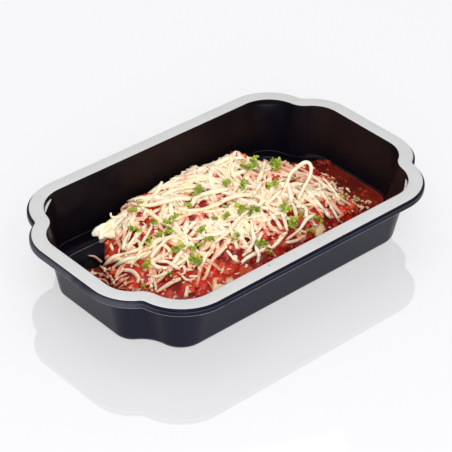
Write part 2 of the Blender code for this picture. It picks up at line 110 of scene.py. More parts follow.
# Shader maths: a wire is one socket's value, and arithmetic on wires adds Math nodes.
class Wire:
    def __init__(self, finish, socket):
        self.finish, self.socket = finish, socket

    def math(self, operation, first, second):
        return self.finish.node("ShaderNodeMath", dict(operation=operation), {0: first, 1: second})

    def __add__(self, other):
        return self.math("ADD", self, other)

    def __sub__(self, other):
        return self.math("SUBTRACT", self, other)

    def __rsub__(self, other):
        return self.math("SUBTRACT", other, self)

    def __mul__(self, other):
        return self.math("MULTIPLY", self, other)

    __radd__, __rmul__ = __add__, __mul__

    def step(self, low, high):
        # 0 below low, 1 above high, smooth between
        return self.finish.node("ShaderNodeMapRange", dict(interpolation_type="SMOOTHSTEP"),
                                {"Value": self, "From Min": low, "From Max": high})


class Finish:
    def __init__(self, name):
        self.material = bpy.data.materials.new(name)
        self.material.use_nodes = True
        self.tree = self.material.node_tree
        self.shader = self.tree.nodes["Principled BSDF"]
        self.place = self.node("ShaderNodeTexCoord", output="Object")

    def node(self, kind, settings=None, sockets=None, output=0):
        made = self.tree.nodes.new(kind)
        for key, value in (settings or {}).items():
            setattr(made, key, value)
        for key, value in (sockets or {}).items():
            self.feed(made.inputs[key], value)
        return Wire(self, made.outputs[output])

    def feed(self, socket, value):
        if isinstance(value, Wire):
            self.tree.links.new(value.socket, socket)
        elif hasattr(value, "__len__") and len(value) == 3 and socket.type == "RGBA":
            socket.default_value = (*value, 1.0)
        else:
            socket.default_value = value

    def noise(self, scale, detail=2.0):
        return self.node("ShaderNodeTexNoise", None, {"Vector": self.place, "Scale": scale, "Detail": detail})

    def value(self, name):
        return self.node("ShaderNodeAttribute", dict(attribute_name=name), None, "Fac")

    def blend(self, share, first, second):
        return self.node("ShaderNodeMix", dict(data_type="RGBA"), {0: share, 6: first, 7: second}, 2)

    def layers(self, colour, *coats):
        # each coat, a share and a colour, goes over the ones before it
        for share, coat in coats:
            colour = self.blend(share, colour, coat)
        return colour

    def bump(self, height, depth, strength=1.0, after=None):
        sockets = {"Height": height, "Distance": depth, "Strength": strength}
        if after:
            sockets["Normal"] = after
        return self.node("ShaderNodeBump", None, sockets, "Normal")

    def paint(self, **sockets):
        for key, value in sockets.items():
            self.feed(self.shader.inputs[key.replace("_", " ")], value)
        return self.material


# Meshes: points are rows of x, y, z, and polygons are arrays of point numbers, one for each number of sides.
def makePiece(name, points, polygons, material, values=None, stands=()):
    mesh = bpy.data.meshes.new(name)
    loops = np.concatenate([p.ravel() for p in polygons]).astype(np.int32)
    sizes = np.concatenate([np.full(len(p), p.shape[1]) for p in polygons])
    starts = np.concatenate([[0], np.cumsum(sizes)[:-1]]).astype(np.int32)
    mesh.vertices.add(len(points))
    mesh.vertices.foreach_set("co", np.ascontiguousarray(points, np.float32).ravel())
    mesh.loops.add(len(loops))
    mesh.loops.foreach_set("vertex_index", loops)
    mesh.polygons.add(len(sizes))
    mesh.polygons.foreach_set("loop_start", starts)
    mesh.update(calc_edges=True)
    mesh.validate()
    for key, value in (values or {}).items():
        layer = mesh.attributes.new(key, "FLOAT", "POINT")
        layer.data.foreach_set("value", np.ascontiguousarray(value, np.float32).ravel())
    mesh.shade_smooth()
    mesh.materials.append(material)
    piece = bpy.data.objects.new(name, mesh)
    bpy.context.scene.collection.objects.link(piece)
    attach(piece, "root")
    if stands:
        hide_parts(*stands)
    low, high = (np.round(end(points, 0) / mm, 1) for end in (np.min, np.max))
    print(name, int((sizes - 2).sum()), "triangles, from", low, "to", high, "mm")


def gridFaces(rows, columns):
    # one quad between each two rows and each two columns, the last column joined to the first
    i, j = np.meshgrid(np.arange(rows - 1) * columns, np.arange(columns), indexing="ij")
    k = (j + 1) % columns
    return np.stack([i + j, i + k, i + columns + k, i + columns + j], -1).reshape(-1, 4)


def poleFans(rows, columns):
    # triangles from the first and the last row to the two poles, which follow the grid's own points
    ring = np.arange(columns)
    after = (ring + 1) % columns
    pole, last = rows * columns, (rows - 1) * columns
    fans = [(np.full(columns, pole), after, ring), (np.full(columns, pole + 1), last + ring, last + after)]
    return np.concatenate([np.stack(fan, -1) for fan in fans])


def copiesOf(faces, count, step):
    # the same faces for each of many like pieces, whose points follow each other in steps
    return (faces[None] + np.arange(count)[:, None, None] * step).reshape(-1, faces.shape[1])


def closedRows(rows, columns, count=1):
    # the faces of many like pieces: a grid closed round each, and one polygon over each end
    ring, step = np.arange(columns)[None], rows * columns
    ends = [copiesOf(ring[:, ::-1], count, step), copiesOf(ring + step - columns, count, step)]
    return [copiesOf(gridFaces(rows, columns), count, step), np.concatenate(ends)]


def joinSets(sets):
    # one mesh from many sets of points, faces and named values
    first, polygons = 0, []
    for points, faces, values in sets:
        polygons.append([part + first for part in faces])
        first += len(points)
    joined = [np.concatenate(parts) for parts in zip(*polygons)]
    values = {key: np.concatenate([part[2][key] for part in sets]) for key in sets[0][2]}
    return np.concatenate([part[0] for part in sets]), joined, values


def roundBumps(x, y, bumps, power=1):
    # the highest of many bumps (x, y, radius, height): height * exp(-(distance / radius) ** 2 ** power)
    highest = np.zeros_like(x)
    for bumpX, bumpY, radius, height in bumps:
        away = ((x - bumpX) ** 2 + (y - bumpY) ** 2) / radius ** 2
        highest = np.maximum(highest, height * np.exp(-away ** power))
    return highest


# Tray: a profile carried round a lobed outline. Offsets run inward from the flange's outer edge.
tray = dict(
    length=218.3 * mm, width=136.4 * mm, height=37.6 * mm, steps=(16, 10, 22),
    sideLobeFromEnd=41.7 * mm, sideLobeRadius=28.6 * mm,
    endLobeFromSide=47.0 * mm, endLobeRadius=25.5 * mm, notchRadius=4.3 * mm,
    flange=7.95 * mm, wall=0.83 * mm, flangeThickness=0.8 * mm, draft=0.19, bottomRound=5.0 * mm,
    roundSteps=9, skirtSkin=0.7 * mm, skirtStep=1.1 * mm, skirtStepDepth=1.6 * mm, skirtDepth=4.1 * mm,
    shelfDepth=2.6 * mm, shelfFrom=math.radians(16), shelfTo=math.radians(60),
    shelfTop=((0.02, 0.85), (0.08, 0.88)), shelfFall=((0.5, 1), (9, 0.8), (19, 0.3)),
    ridge=0.3 * mm, ridgeForm=((0.25, 0), (0.45, 1), (0.8, 1), (1.05, 0)),
    seam=6.4 * mm, shore=7.5 * mm, line=0.16 * mm,
)


def trayOutline(offsets, shelves=(0,)):
    # rows of x, y for each inward offset: the lobes are arcs that shrink and the notches between them grow,
    # and a shelf cuts part of each side lobe off along a straight line
    t = tray
    offsets, shelves = (np.asarray(values, float)[:, None] for values in (offsets, shelves))
    side = np.array([t["sideLobeFromEnd"], t["sideLobeRadius"]])
    end = np.array([t["endLobeRadius"], t["endLobeFromSide"]])
    reachSide, reachEnd = t["sideLobeRadius"] + t["notchRadius"], t["endLobeRadius"] + t["notchRadius"]
    span = np.linalg.norm(end - side)
    along = (end - side) / span
    across = np.array([-along[1], along[0]])
    across = across * (-1 if across.sum() > 0 else 1)
    forward = (reachSide ** 2 - reachEnd ** 2 + span ** 2) / (2 * span)
    notch = side + along * forward + across * math.sqrt(reachSide ** 2 - forward ** 2)
    toSide, toEnd = unit(notch - side), unit(notch - end)
    endAngle = math.atan2(-toEnd[1], -toEnd[0])
    turnEnd = np.linspace(0, endAngle, t["steps"][0])
    turnNotch = np.linspace(endAngle, math.atan2(-toSide[1], -toSide[0]), t["steps"][1] + 2)[1:-1]
    turnSide = np.linspace(math.atan2(-toSide[0], -toSide[1]), 0, t["steps"][2])
    middle, half = (t["shelfFrom"] + t["shelfTo"]) / 2, (t["shelfTo"] - t["shelfFrom"]) / 2
    flat = np.where(np.abs(turnSide - middle) < half, 1 - math.cos(half) / np.cos(turnSide - middle), 0)
    endRadius, notchRadius = t["endLobeRadius"] - offsets, t["notchRadius"] + offsets
    sideRadius = (t["sideLobeRadius"] - offsets) * (1 - shelves * flat)
    x = t["length"] / 2 - np.concatenate([
        end[0] - endRadius * np.cos(turnEnd),
        notch[0] + notchRadius * np.cos(turnNotch),
        side[0] - sideRadius * np.sin(turnSide),
    ], 1)
    y = t["width"] / 2 - np.concatenate([
        end[1] - endRadius * np.sin(turnEnd),
        notch[1] + notchRadius * np.sin(turnNotch),
        side[1] - sideRadius * np.cos(turnSide),
    ], 1)
    quarters = [(x, y), (-x[:, ::-1], y[:, ::-1]), (-x, -y), (x[:, ::-1], -y[:, ::-1])]
    return np.stack([np.concatenate([quarter[k] for quarter in quarters], 1) for k in (0, 1)], -1)


def wallOffset(height, inside=0.0):
    return tray["flange"] + tray["draft"] * (tray["height"] - height) + inside * math.hypot(1, tray["draft"])


def bottomRound(radius):
    middle = wallOffset(tray["bottomRound"], tray["bottomRound"] - tray["wall"])
    turn = np.linspace(math.atan(tray["draft"]), math.pi / 2, tray["roundSteps"])
    offsets, heights = middle - radius * np.cos(turn), tray["bottomRound"] - radius * np.sin(turn)
    return np.stack([offsets, heights, 0 * turn], -1)


def fillet(corners, steps=4):
    # each corner (offset, height, shelf, radius) becomes a curve between points at that distance from it
    rows = []
    for k, (offset, height, shelf, radius) in enumerate(corners):
        here = np.array([offset, height, shelf])
        if radius == 0 or k in (0, len(corners) - 1):
            rows.append(here[None])
            continue
        before, after = np.array(corners[k - 1][:3]), np.array(corners[k + 1][:3])
        gapBefore, gapAfter = np.linalg.norm((before - here)[:2]), np.linalg.norm((after - here)[:2])
        start = here + (before - here) * min(radius / gapBefore, 0.49)
        finish = here + (after - here) * min(radius / gapAfter, 0.49)
        s = np.linspace(0, 1, steps)[:, None]
        rows.append(start * (1 - s) ** 2 + here * 2 * s * (1 - s) + finish * s ** 2)
    return np.concatenate(rows)


def overPool(angle):
    return (pool["start"] - angle) % math.tau < pool["sweep"]


def makeTray(material):
    t, paintedLines = tray, trayLook["paintedLines"]
    top, under = t["height"], t["height"] - t["flangeThickness"]
    lip, step, shelf = top - t["skirtDepth"], top - t["skirtStepDepth"], top - t["shelfDepth"]
    skin, out = t["skirtSkin"], t["skirtStep"]
    lines = [height + side * t["line"] for height in (t["shore"], t["seam"]) for side in (1, 0, -1)]
    inner = bottomRound(t["bottomRound"] - t["wall"])
    outer = fillet([
        (*bottomRound(t["bottomRound"])[0], 0),
        (wallOffset(under, -t["wall"]), under, 0, 0.8 * mm),
        (skin, under, 0, 0.5 * mm),
        (skin, step - skin, 0, 0.3 * mm),
        (skin - out, step - skin, 0, 0.3 * mm),
        (skin - out, lip, 0, 0.2 * mm),
        (-out, lip, 0, 0.25 * mm),
        (-out, lip + 0.42 * mm, 0, 0),
        (-out, step - 0.55 * mm, 0, 0),
        (-out, step, 0, 0.4 * mm),
        (0.0, step, 0, 0.35 * mm),
        (0.0, top, 0, 0.6 * mm),
        (t["flange"], top, 0, 0.55 * mm),
        *((wallOffset(shelf + rise), shelf + rise, 0, 0) for rise in (0.06 * mm, 0)),
        *((wallOffset(shelf), shelf - drop * mm, share, 0) for drop, share in t["shelfTop"]),
        *((wallOffset(shelf - drop * mm), shelf - drop * mm, share, 0) for drop, share in t["shelfFall"]),
        *((wallOffset(height), height, 0.1, 0) for height in lines),
        (*inner[0], 0),
    ])
    last = inner[-1, 0]
    ridge = [[last + along * mm, t["wall"] + rise * t["ridge"], 0] for along, rise in t["ridgeForm"]]
    profile = np.concatenate([bottomRound(t["bottomRound"])[::-1], outer[1:], inner[1:], ridge])
    offsets, heights, shelves = profile.T
    rings = trayOutline(offsets, shelves)
    rows, columns = rings.shape[:2]
    points = asRows(rings[..., 0], rings[..., 1], heights[:, None])
    points = np.concatenate([points, [[0, 0, 0], [0, 0, t["wall"]]]])

    # pale: the flange's own pale colour, and a painted highlight on the tops of the shelves at the two
    # corners that face the light
    isFlange = (heights > top - 0.08 * mm).astype(float)
    isShelf = np.isclose(offsets, wallOffset(shelf)) & (heights > shelf - 0.05 * mm)
    whole, cut = trayOutline([wallOffset(shelf)] * 2, [0, 1])
    # painted highlight: only the shelf tops at the two corners that face the light are made pale
    shelfHighlight = (np.linalg.norm(whole - cut, axis=-1) > 0.5 * mm) & (rings[0, :, 0] * rings[0, :, 1] < 0)
    pale = np.maximum(isFlange[:, None], isShelf[:, None] * shelfHighlight)
    inside = np.repeat((np.arange(rows) > np.argmax(isFlange)).astype(float), columns)

    # edge: painted highlight lines along the step, lip, ridge, seam and shore, and a painted sheen on the
    # skirt's ends
    toStep, toLip = (np.hypot(offsets + out, heights - height) for height in (step, lip))
    edge = paintedLines["step"] * (1 - smoothStep((toStep / mm - 0.1) / 0.15))
    edge = np.maximum(edge, 1 - smoothStep((toLip / mm - 0.16) / 0.22))
    edge[-3:-1] = paintedLines["ridge"]
    onWall = offsets < last
    edge[np.isclose(heights, t["seam"]) & onWall] = paintedLines["seam"]
    skirt = (heights > lip - 0.01 * mm) & (heights < top - 0.7 * mm) & (offsets < 0.1 * mm)
    atEnds = smoothStep((np.abs(rings[:, :, 0]) / mm - 92) / 12)
    edge = np.maximum(edge[:, None], paintedLines["skirt"] * skirt[:, None] * atEnds)
    around = np.arctan2(rings[0, :, 1], rings[0, :, 0] - heap["middle"][0])
    shore = (np.isclose(heights, t["shore"]) & onWall)[:, None] & overPool(around)
    edge = np.maximum(edge, paintedLines["shore"] * shore)
    values = dict(
        pale=np.concatenate([pale.ravel(), [0, 0]]),
        inside=np.concatenate([inside, [0, 1]]),
        edge=np.concatenate([edge.ravel(), [0, 0]]),
    )
    faces = [gridFaces(rows, columns), poleFans(rows, columns)]
    makePiece("trayShell", points, faces, material, values, ("tray",))


trayLook = dict(
    # the inside's darker, warmer black is painted shade, and the faint reddish patches high on the inner wall
    # are a painted reflection of the food
    black=(0.0058, 0.0055, 0.0150), inside=(0.0042, 0.0036, 0.0058), foodReflection=(0.0150, 0.0080, 0.0070),
    pale=(0.53, 0.53, 0.52), paleShade=0.94, paintedHighlight=(0.26, 0.26, 0.29), fleckColour=(0.03, 0.03, 0.02),
    rough=0.30, insideRough=0.25, paleRough=0.42, index=1.31, shine=0.24, tint=(0.74, 0.72, 1.0),
    foodReflectionFrom=9 * mm, foodReflectionTo=23 * mm, fleck=(269.0, 265.3), fleckRadius=0.55 * mm,
    # the grey lines along the skirt, ridge, seam and the pool's level are painted highlights, and the paler
    # skirt ends a painted sheen
    paintedLines=dict(step=0.3, ridge=0.5, seam=0.35, shore=0.35, skirt=0.2),
)


def trayFinish():
    look, f = trayLook, Finish("moulded tray")
    pale, inside = f.value("pale").step(0.4, 0.6), f.value("inside")
    # painted shade inside the tray, with faint reddish patches high on the wall as a painted reflection of
    # the food
    high = f.node("ShaderNodeSeparateXYZ", None, {0: f.place}, "Z").step(look["foodReflectionFrom"], look["foodReflectionTo"])
    insideShade = f.blend(f.noise(17, 3).step(0.40, 0.66) * high, look["inside"], look["foodReflection"])
    # painted highlight lines along the edges and a painted sheen on the skirt's ends
    paintedHighlight = f.value("edge") * f.noise(60, 2).step(0.2, 0.5)
    shell = f.layers(look["black"], (inside, insideShade), (paintedHighlight, look["paintedHighlight"]))
    shade = tuple(look["paleShade"] * part for part in look["pale"])
    rim = f.blend(f.noise(38, 3).step(0.3, 0.7), look["pale"], shade)
    x, y = throughPixel(*look["fleck"], tray["height"])
    fleck = {0: f.place, 1: (float(x), float(y), tray["height"])}
    away = f.node("ShaderNodeVectorMath", dict(operation="DISTANCE"), fleck, "Value")
    rim = f.blend(away.step(look["fleckRadius"] * 0.6, look["fleckRadius"]), look["fleckColour"], rim)
    rough = pale * (look["paleRough"] - look["rough"]) + look["rough"]
    rough = rough - inside * (1 - pale) * (look["rough"] - look["insideRough"])
    rough = rough + (f.noise(140, 3) - 0.5) * 0.06 + inside * (f.noise(21, 3) - 0.5) * 0.3
    grain = f.bump(f.noise(900, 2), 0.02 * mm, 0.25)
    ripple = f.bump(f.noise(28, 1), 0.25 * mm, 0.05, grain)
    return f.paint(Base_Color=f.blend(pale, shell, rim), Roughness=rough, Normal=ripple, IOR=look["index"],
                   Specular_IOR_Level=look["shine"], Specular_Tint=(*look["tint"], 1.0))


# Heap: a flat-topped dome whose height is a function of x and y, steep at the back and lower at both ends.
heap = dict(
    middle=(-1.0 * mm, 1.0 * mm), halfLength=79.0 * mm, halfWidth=44.0 * mm, squareness=2.7,
    foot=7.4 * mm, crestLeft=22.0 * mm, crestRight=29.2 * mm,
    riseFrom=-72.0 * mm, riseRun=62.0 * mm, power=4.5, root=0.68, backPower=8.0, backRoot=0.45,
    frontFall=7.0 * mm, rightFall=7.0 * mm, rightFallFrom=36.0 * mm, rightFallRun=45.0 * mm,
    waves=((0.010, 3, 0.6), (0.010, 5, 2.1), (0.008, 9, 0.0)),
    bumps=((162, -0.105, 15), (92, 0.06, 40), (13, 0.065, 8), (-23, 0.055, 11)),
    lump=0.36 * mm, lumps=7, longestLump=27.0, lumpStep=2.1,
)


def footRadius(angle):
    # a squared oval about the heap's middle, with waves and a few broad bumps (direction, share, spread)
    h = heap
    oval = (np.abs(np.cos(angle)) / h["halfLength"]) ** h["squareness"]
    oval = oval + (np.abs(np.sin(angle)) / h["halfWidth"]) ** h["squareness"]
    uneven = 1
    for share, count, start in h["waves"]:
        uneven = uneven + share * np.sin(count * angle + start)
    for direction, share, spread in h["bumps"]:
        away = (np.degrees(angle) - direction + 180) % 360 - 180
        uneven = uneven + share * np.exp(-((away / spread) ** 2))
    return oval ** (-1 / h["squareness"]) * uneven


def heapShare(x, y):
    # how far out a point lies, 1 at the foot, and its direction
    awayX, awayY = x - heap["middle"][0], y - heap["middle"][1]
    angle = np.arctan2(awayY, awayX)
    return np.hypot(awayX, awayY) / footRadius(angle), angle


def heapHeight(x, y):
    # foot + (crest - foot + lumps) * (1 - share ** power) ** root
    h = heap
    share, angle = heapShare(x, y)
    back = smoothStep(2 * np.sin(angle) - 0.6)
    power, root = mix(h["power"], h["backPower"], back), mix(h["root"], h["backRoot"], back)
    dome = np.clip(1 - share ** power, 0, 1) ** root
    crest = mix(h["crestLeft"], h["crestRight"], smoothStep((x - h["riseFrom"]) / h["riseRun"]))
    crest = crest - h["frontFall"] * smoothStep((h["middle"][1] - y) / h["halfWidth"])
    crest = crest - h["rightFall"] * smoothStep((x - h["rightFallFrom"]) / h["rightFallRun"])
    lumps = 0
    for number in range(h["lumps"]):
        wave, heading = (h["longestLump"] - h["lumpStep"] * number) * mm, 2.4 * number
        lumps = lumps + np.sin(runAlong(x, y, heading) * math.tau / wave + 1.7 * number)
    return h["foot"] + (crest - h["foot"] + lumps * h["lump"]) * dome


cover = dict(back=0.86, front=0.50, left=0.62, right=0.72, fade=0.22)


def cheeseCover(x, y):
    # how thickly cheese lies here: all over the top, thinning out towards the front, the ends and the foot
    share, angle = heapShare(x, y)
    back = smoothStep(np.sin(angle) * 1.6 - 0.1)
    front = smoothStep(-np.sin(angle) * 1.5 - 0.1)
    ends = np.clip(1 - back - front, 0, 1) * np.where(x < 0, cover["left"], cover["right"])
    start = cover["back"] * back + cover["front"] * front + ends
    uneven = 0.06 * np.sin(x / (7 * mm) + 1.0) * np.sin(y / (6 * mm)) + 0.04 * np.sin((x + y) / (4.2 * mm))
    return 1 - smoothStep((share + uneven - start) / cover["fade"])


# The heap's own surface; its cream and bright patches are pixels with a radius in mm.
body = dict(
    rings=96, spokes=330, sunk=1.9 * mm, floor=1.2 * mm, crowding=1.35,
    chunks=460, chunkRadius=(1.3 * mm, 3.6 * mm), chunkHeight=(0.3 * mm, 1.7 * mm), chunkSunk=0.4 * mm,
    cream=((220, 285, 5), (318, 231, 5), (312, 226, 4), (300, 239, 3.5), (262, 256, 3), (232, 281, 4)),
    bright=((212, 277, 6.5), (200, 283, 4.5), (140, 283, 4), (344, 209, 6), (262, 246, 4)),
)
chunks = np.stack([
    draws.uniform(-84, 84, body["chunks"]) * mm, draws.uniform(-46, 50, body["chunks"]) * mm,
    draws.uniform(*body["chunkRadius"], body["chunks"]), draws.uniform(*body["chunkHeight"], body["chunks"]),
], -1)


def bodyHeight(x, y):
    # the heap lowered under the cheese, plus flat-topped bumps for the chunks in the sauce
    bumps = roundBumps(x, y, chunks, 2)
    fade = smoothStep((1.0 - heapShare(x, y)[0]) / 0.08)
    base = heapHeight(x, y) - body["sunk"] * smoothStep(cheeseCover(x, y) * 1.3) * fade
    return base + (bumps - body["chunkSunk"]) * fade, bumps


def makeBody(material):
    b, (middleX, middleY) = body, heap["middle"]
    angles = np.linspace(0, math.tau, b["spokes"], endpoint=False)
    shares = 1 - (1 - np.linspace(0, 1, b["rings"])[1:]) ** b["crowding"]
    reach = shares[:, None] * footRadius(angles)[None]
    x, y = middleX + reach * np.cos(angles), middleY + reach * np.sin(angles)
    z, bumps = bodyHeight(x, y)
    x, y = (np.concatenate([part, part[-1:]]) for part in (x, y))
    z = np.concatenate([z, np.full((1, b["spokes"]), b["floor"])])
    bumps = np.concatenate([bumps, np.zeros((1, b["spokes"]))])
    crest = bodyHeight(np.array([middleX]), np.array([middleY]))[0][0]
    poles = np.array([[middleX, middleY, crest], [middleX, middleY, b["floor"]]])
    rows, columns = x.shape
    values = dict(chunk=np.concatenate([bumps.ravel() / b["chunkHeight"][1], [0, 0]]))
    for name in ("cream", "bright"):
        spots = [(*throughPixel(u, v, 15 * mm), size * mm, 1) for u, v, size in b[name]]
        values[name] = np.concatenate([roundBumps(x, y, spots).ravel(), [0, 0]])
    makePiece("sauceHeap", np.concatenate([asRows(x, y, z), poles]),
              [gridFaces(rows, columns)[:, ::-1], poleFans(rows, columns)[:, [0, 2, 1]]],
              material, values, ("cheesy_bake",))


sauceLook = dict(
    dark=(0.2, 0.006, 0.005), red=(0.5, 0.018, 0.007), orange=(0.62, 0.075, 0.018), chunk=(0.66, 0.09, 0.04),
    bright=(0.74, 0.022, 0.006), pink=(0.82, 0.40, 0.27), cream=(0.85, 0.62, 0.36), rough=0.07, shine=0.24,
)


def sauceHeapFinish():
    look, f = sauceLook, Finish("sauce and filling")
    fine = f.noise(380, 4)
    colour = f.layers(
        look["dark"],
        (f.noise(95, 3).step(0.40, 0.62), look["red"]),
        (f.noise(150, 2).step(0.56, 0.68) * 0.8, look["orange"]),
        (f.value("chunk").step(0.45, 0.9) * f.noise(60, 1).step(0.45, 0.6) * 0.7, look["chunk"]),
        (f.value("bright").step(0.3, 0.8) * 0.75, look["bright"]),
        (f.noise(460, 3).step(0.60, 0.70) * 0.6, look["pink"]),
        ((f.value("cream") + (fine - 0.5) * 0.7).step(0.35, 0.75), look["cream"]),
    )
    relief = f.bump(f.noise(130, 3), 1.1 * mm, 0.6, f.bump(fine, 0.5 * mm, 0.7))
    return f.paint(Base_Color=colour, Roughness=look["rough"] + f.noise(300, 2).step(0.45, 0.7) * 0.12,
                   Normal=relief, Specular_IOR_Level=look["shine"])


# The pile: a height map over the tray that rises as toppings settle on it.
pileGrid = dict(
    pitch=0.8 * mm, left=-100 * mm, front=-58 * mm, columns=251, rows=146, above=36 * mm,
    overPool=0.1 * mm, overFloor=0.6 * mm,
)


def startPile():
    g = pileGrid
    x, y = g["left"] + g["pitch"] * np.arange(g["columns"]), g["front"] + g["pitch"] * np.arange(g["rows"])
    x, y = np.meshgrid(x, y, indexing="ij")
    share, angle = heapShare(x, y)
    beside = np.where(overPool(angle), pool["level"] + g["overPool"], tray["wall"] + g["overFloor"])
    return np.where(share < 1, bodyHeight(x, y)[0], beside)


def onGrid(x, y):
    i = np.clip((x - pileGrid["left"]) / pileGrid["pitch"], 0, pileGrid["columns"] - 1.001)
    j = np.clip((y - pileGrid["front"]) / pileGrid["pitch"], 0, pileGrid["rows"] - 1.001)
    return i, j


def pileAt(field, x, y):
    # the map's height between its grid points
    i, j = onGrid(x, y)
    a, b = i.astype(int), j.astype(int)
    s, t = i - a, j - b
    near = (1 - t) * field[a, b] + t * field[a, b + 1]
    far = (1 - t) * field[a + 1, b] + t * field[a + 1, b + 1]
    return (1 - s) * near + s * far


def raisePile(field, x, y, top):
    i, j = onGrid(x, y)
    np.maximum.at(field, (np.rint(i).astype(int), np.rint(j).astype(int)), top)


def onPile(field, u, v, lift=0.0):
    # where the line through a pixel meets the pile, found by stepping down from above
    z = np.full(np.shape(u), pileGrid["above"])
    for step in range(60):
        x, y = throughPixel(u, v, z)
        z = np.maximum(z - 0.5 * mm, pileAt(field, x, y) + lift)
    x, y = throughPixel(u, v, z)
    return x, y, z


shreds = dict(
    batches=9, each=32, stations=12, sides=7, longest=40 * mm, shortest=12 * mm, twist=0.4, blunt=0.72,
    width=(2.1 * mm, 3.0 * mm), thickness=(1.1 * mm, 1.6 * mm), sink=0.42, bend=0.9, wiggle=0.28, radial=0.6,
    within=((-84, 86), (-47, 50)), patch=6.5 * mm, bare=0.75, bareSpot=(-65 * mm, 30 * mm, 12 * mm),
    shift=15 * mm, behind=(-46 * mm, 40 * mm), overhang=3 * mm, overhangTo=-30 * mm, backLimit=50.5 * mm,
    frontLimit=-52 * mm, stiffness=0.6, steepest=1.2, placedScale=0.98, placedStations=18, placedSink=0.2,
    flatness=0.74, standingFlatness=0.78, depthOfStain=2.6 * mm, cleaner=1.15, stainSpread=0.12,
    stainInSauce=0.45, brightPlaced=0.45, brightSoaked=-0.1, brightStanding=0.5,
)


def openness(x, y):
    # patches where the cheese lies thin: sums of waves at about the size of a thumbnail
    a, b = x / shreds["patch"], y / shreds["patch"]
    wave = np.sin(a + 1.7 * np.sin(0.6 * b + 0.5)) + np.sin(1.1 * b + 1.5 * np.sin(0.7 * a + 2.0))
    wave = wave + 0.6 * np.sin(1.9 * (a - b) + 1.0)
    spotX, spotY, spotRadius = shreds["bareSpot"]
    corner = smoothStep(np.hypot(x - spotX, y - spotY) / spotRadius - 0.5)
    return (1 - shreds["bare"] * smoothStep((wave - 0.1) / 0.9)) * corner


def neighbours(values):
    # for each station the values before it, at it and after it
    wide = np.concatenate([values[:, :1], values, values[:, -1:]], 1)
    return wide[:, :-2], wide[:, 1:-1], wide[:, 2:]


def settle(field, x, y, thickness, lift=0.0, sink=shreds["sink"]):
    # height = stiffness * mean of the highest beside it + (1 - stiffness) * the pile's own, and a shred drops
    # no more than steepest * its run
    stiff = shreds["stiffness"]
    under = pileAt(field, x, y)
    mean = sum(neighbours(np.maximum.reduce(neighbours(under)))) / 3
    z = stiff * mean + (1 - stiff) * under + thickness * (0.5 - sink) + lift
    drop = shreds["steepest"] * np.hypot(np.diff(x, axis=1), np.diff(y, axis=1))
    stations = x.shape[1]
    middle = stations // 2
    for station in range(middle, stations - 1):
        z[:, station + 1] = np.maximum(z[:, station + 1], z[:, station] - drop[:, station])
    for station in range(middle, 0, -1):
        z[:, station - 1] = np.maximum(z[:, station - 1], z[:, station] - drop[:, station - 1])
    fine = np.linspace(0, stations - 1, stations * 4)
    low = np.minimum(fine.astype(int), stations - 2)
    part = fine - low

    def between(values):
        return values[:, low] * (1 - part) + values[:, low + 1] * part

    top = between(z + thickness * (0.5 - sink * 0.5))
    across = unit(np.stack([-np.gradient(y, axis=1), np.gradient(x, axis=1)], -1))
    for side in (-0.8 * mm, 0.0, 0.8 * mm):
        raisePile(field, between(x + across[..., 0] * side), between(y + across[..., 1] * side), top)
    return z


def headings(count, stations, bend, wiggle):
    # how far each shred has turned along its length: an even bend, a one-sided bend and a small wave
    t = np.linspace(-0.5, 0.5, stations)[None]
    turn = draws.normal(0, bend, (count, 1)) * t
    turn = turn + draws.normal(0, bend * 0.8, (count, 1)) * t ** 2 * 2
    swing = wiggle * draws.normal(0, 1, (count, 1))
    waves, start = draws.uniform(0.7, 1.6, (count, 1)), draws.uniform(0, 1, (count, 1))
    return turn + swing * np.sin(math.tau * (t * waves + start))


def chooseSpots(count, weight):
    # places drawn at random, kept where a weight says so
    found = np.zeros((0, 2))
    while len(found) < count:
        x, y = (draws.uniform(*ends, 4 * count) * mm for ends in shreds["within"])
        keep = draws.uniform(0, 1, 4 * count) < weight(x, y)
        found = np.concatenate([found, np.stack([x, y], -1)[keep]])
    return found[:count, 0], found[:count, 1]


def layShreds(field, spots, lengths, thickness, form):
    # walks each shred's path on the flat, shortens its steps where the pile is steep, and lets it settle
    cx, cy = spots
    count, stations = len(lengths), form["stations"]
    share, angle = heapShare(cx, cy)
    start = draws.uniform(0, math.tau, count)
    likely = form["radial"] * smoothStep((share - 0.45) / 0.3) * smoothStep(0.9 - 1.6 * np.sin(angle))
    outward = draws.uniform(0, 1, count) < likely
    start = np.where(outward, angle + draws.normal(0, 0.35, count), start)
    turn = start[:, None] + headings(count, stations, form["bend"], form["wiggle"])
    full = lengths[:, None] / (stations - 1)
    pace = full
    for again in range(3):
        x, y = (np.cumsum(share * pace, 1) for share in (np.cos(turn), np.sin(turn)))
        x, y = cx[:, None] + (x - x.mean(1, keepdims=True)), cy[:, None] + (y - y.mean(1, keepdims=True))
        rise = np.gradient(pileAt(field, x, y), axis=1) / full
        pace = full / np.sqrt(1 + np.clip(rise, -1.6, 1.6) ** 2)

    # shreds on the pasta's bare corner or behind it move along, and none hangs far out behind the heap
    s = shreds
    spotX, spotY, spotRadius = s["bareSpot"]
    bare = np.hypot(x - spotX, y - spotY) < 0.75 * spotRadius
    bare = bare | ((x < s["behind"][0]) & (y > s["behind"][1]))
    x = x + s["shift"] * bare.any(1, keepdims=True)
    along = np.clip(np.abs(x - heap["middle"][0]) / heap["halfLength"], 0, 1)
    power = heap["squareness"]
    edge = heap["middle"][1] + heap["halfWidth"] * (1 - along ** power) ** (1 / power)
    limit = np.where(x < s["overhangTo"], edge + s["overhang"], s["backLimit"])
    y = np.maximum(y - np.maximum(y - limit, 0).max(1, keepdims=True), s["frontLimit"])
    return x, y, settle(field, x, y, thickness)


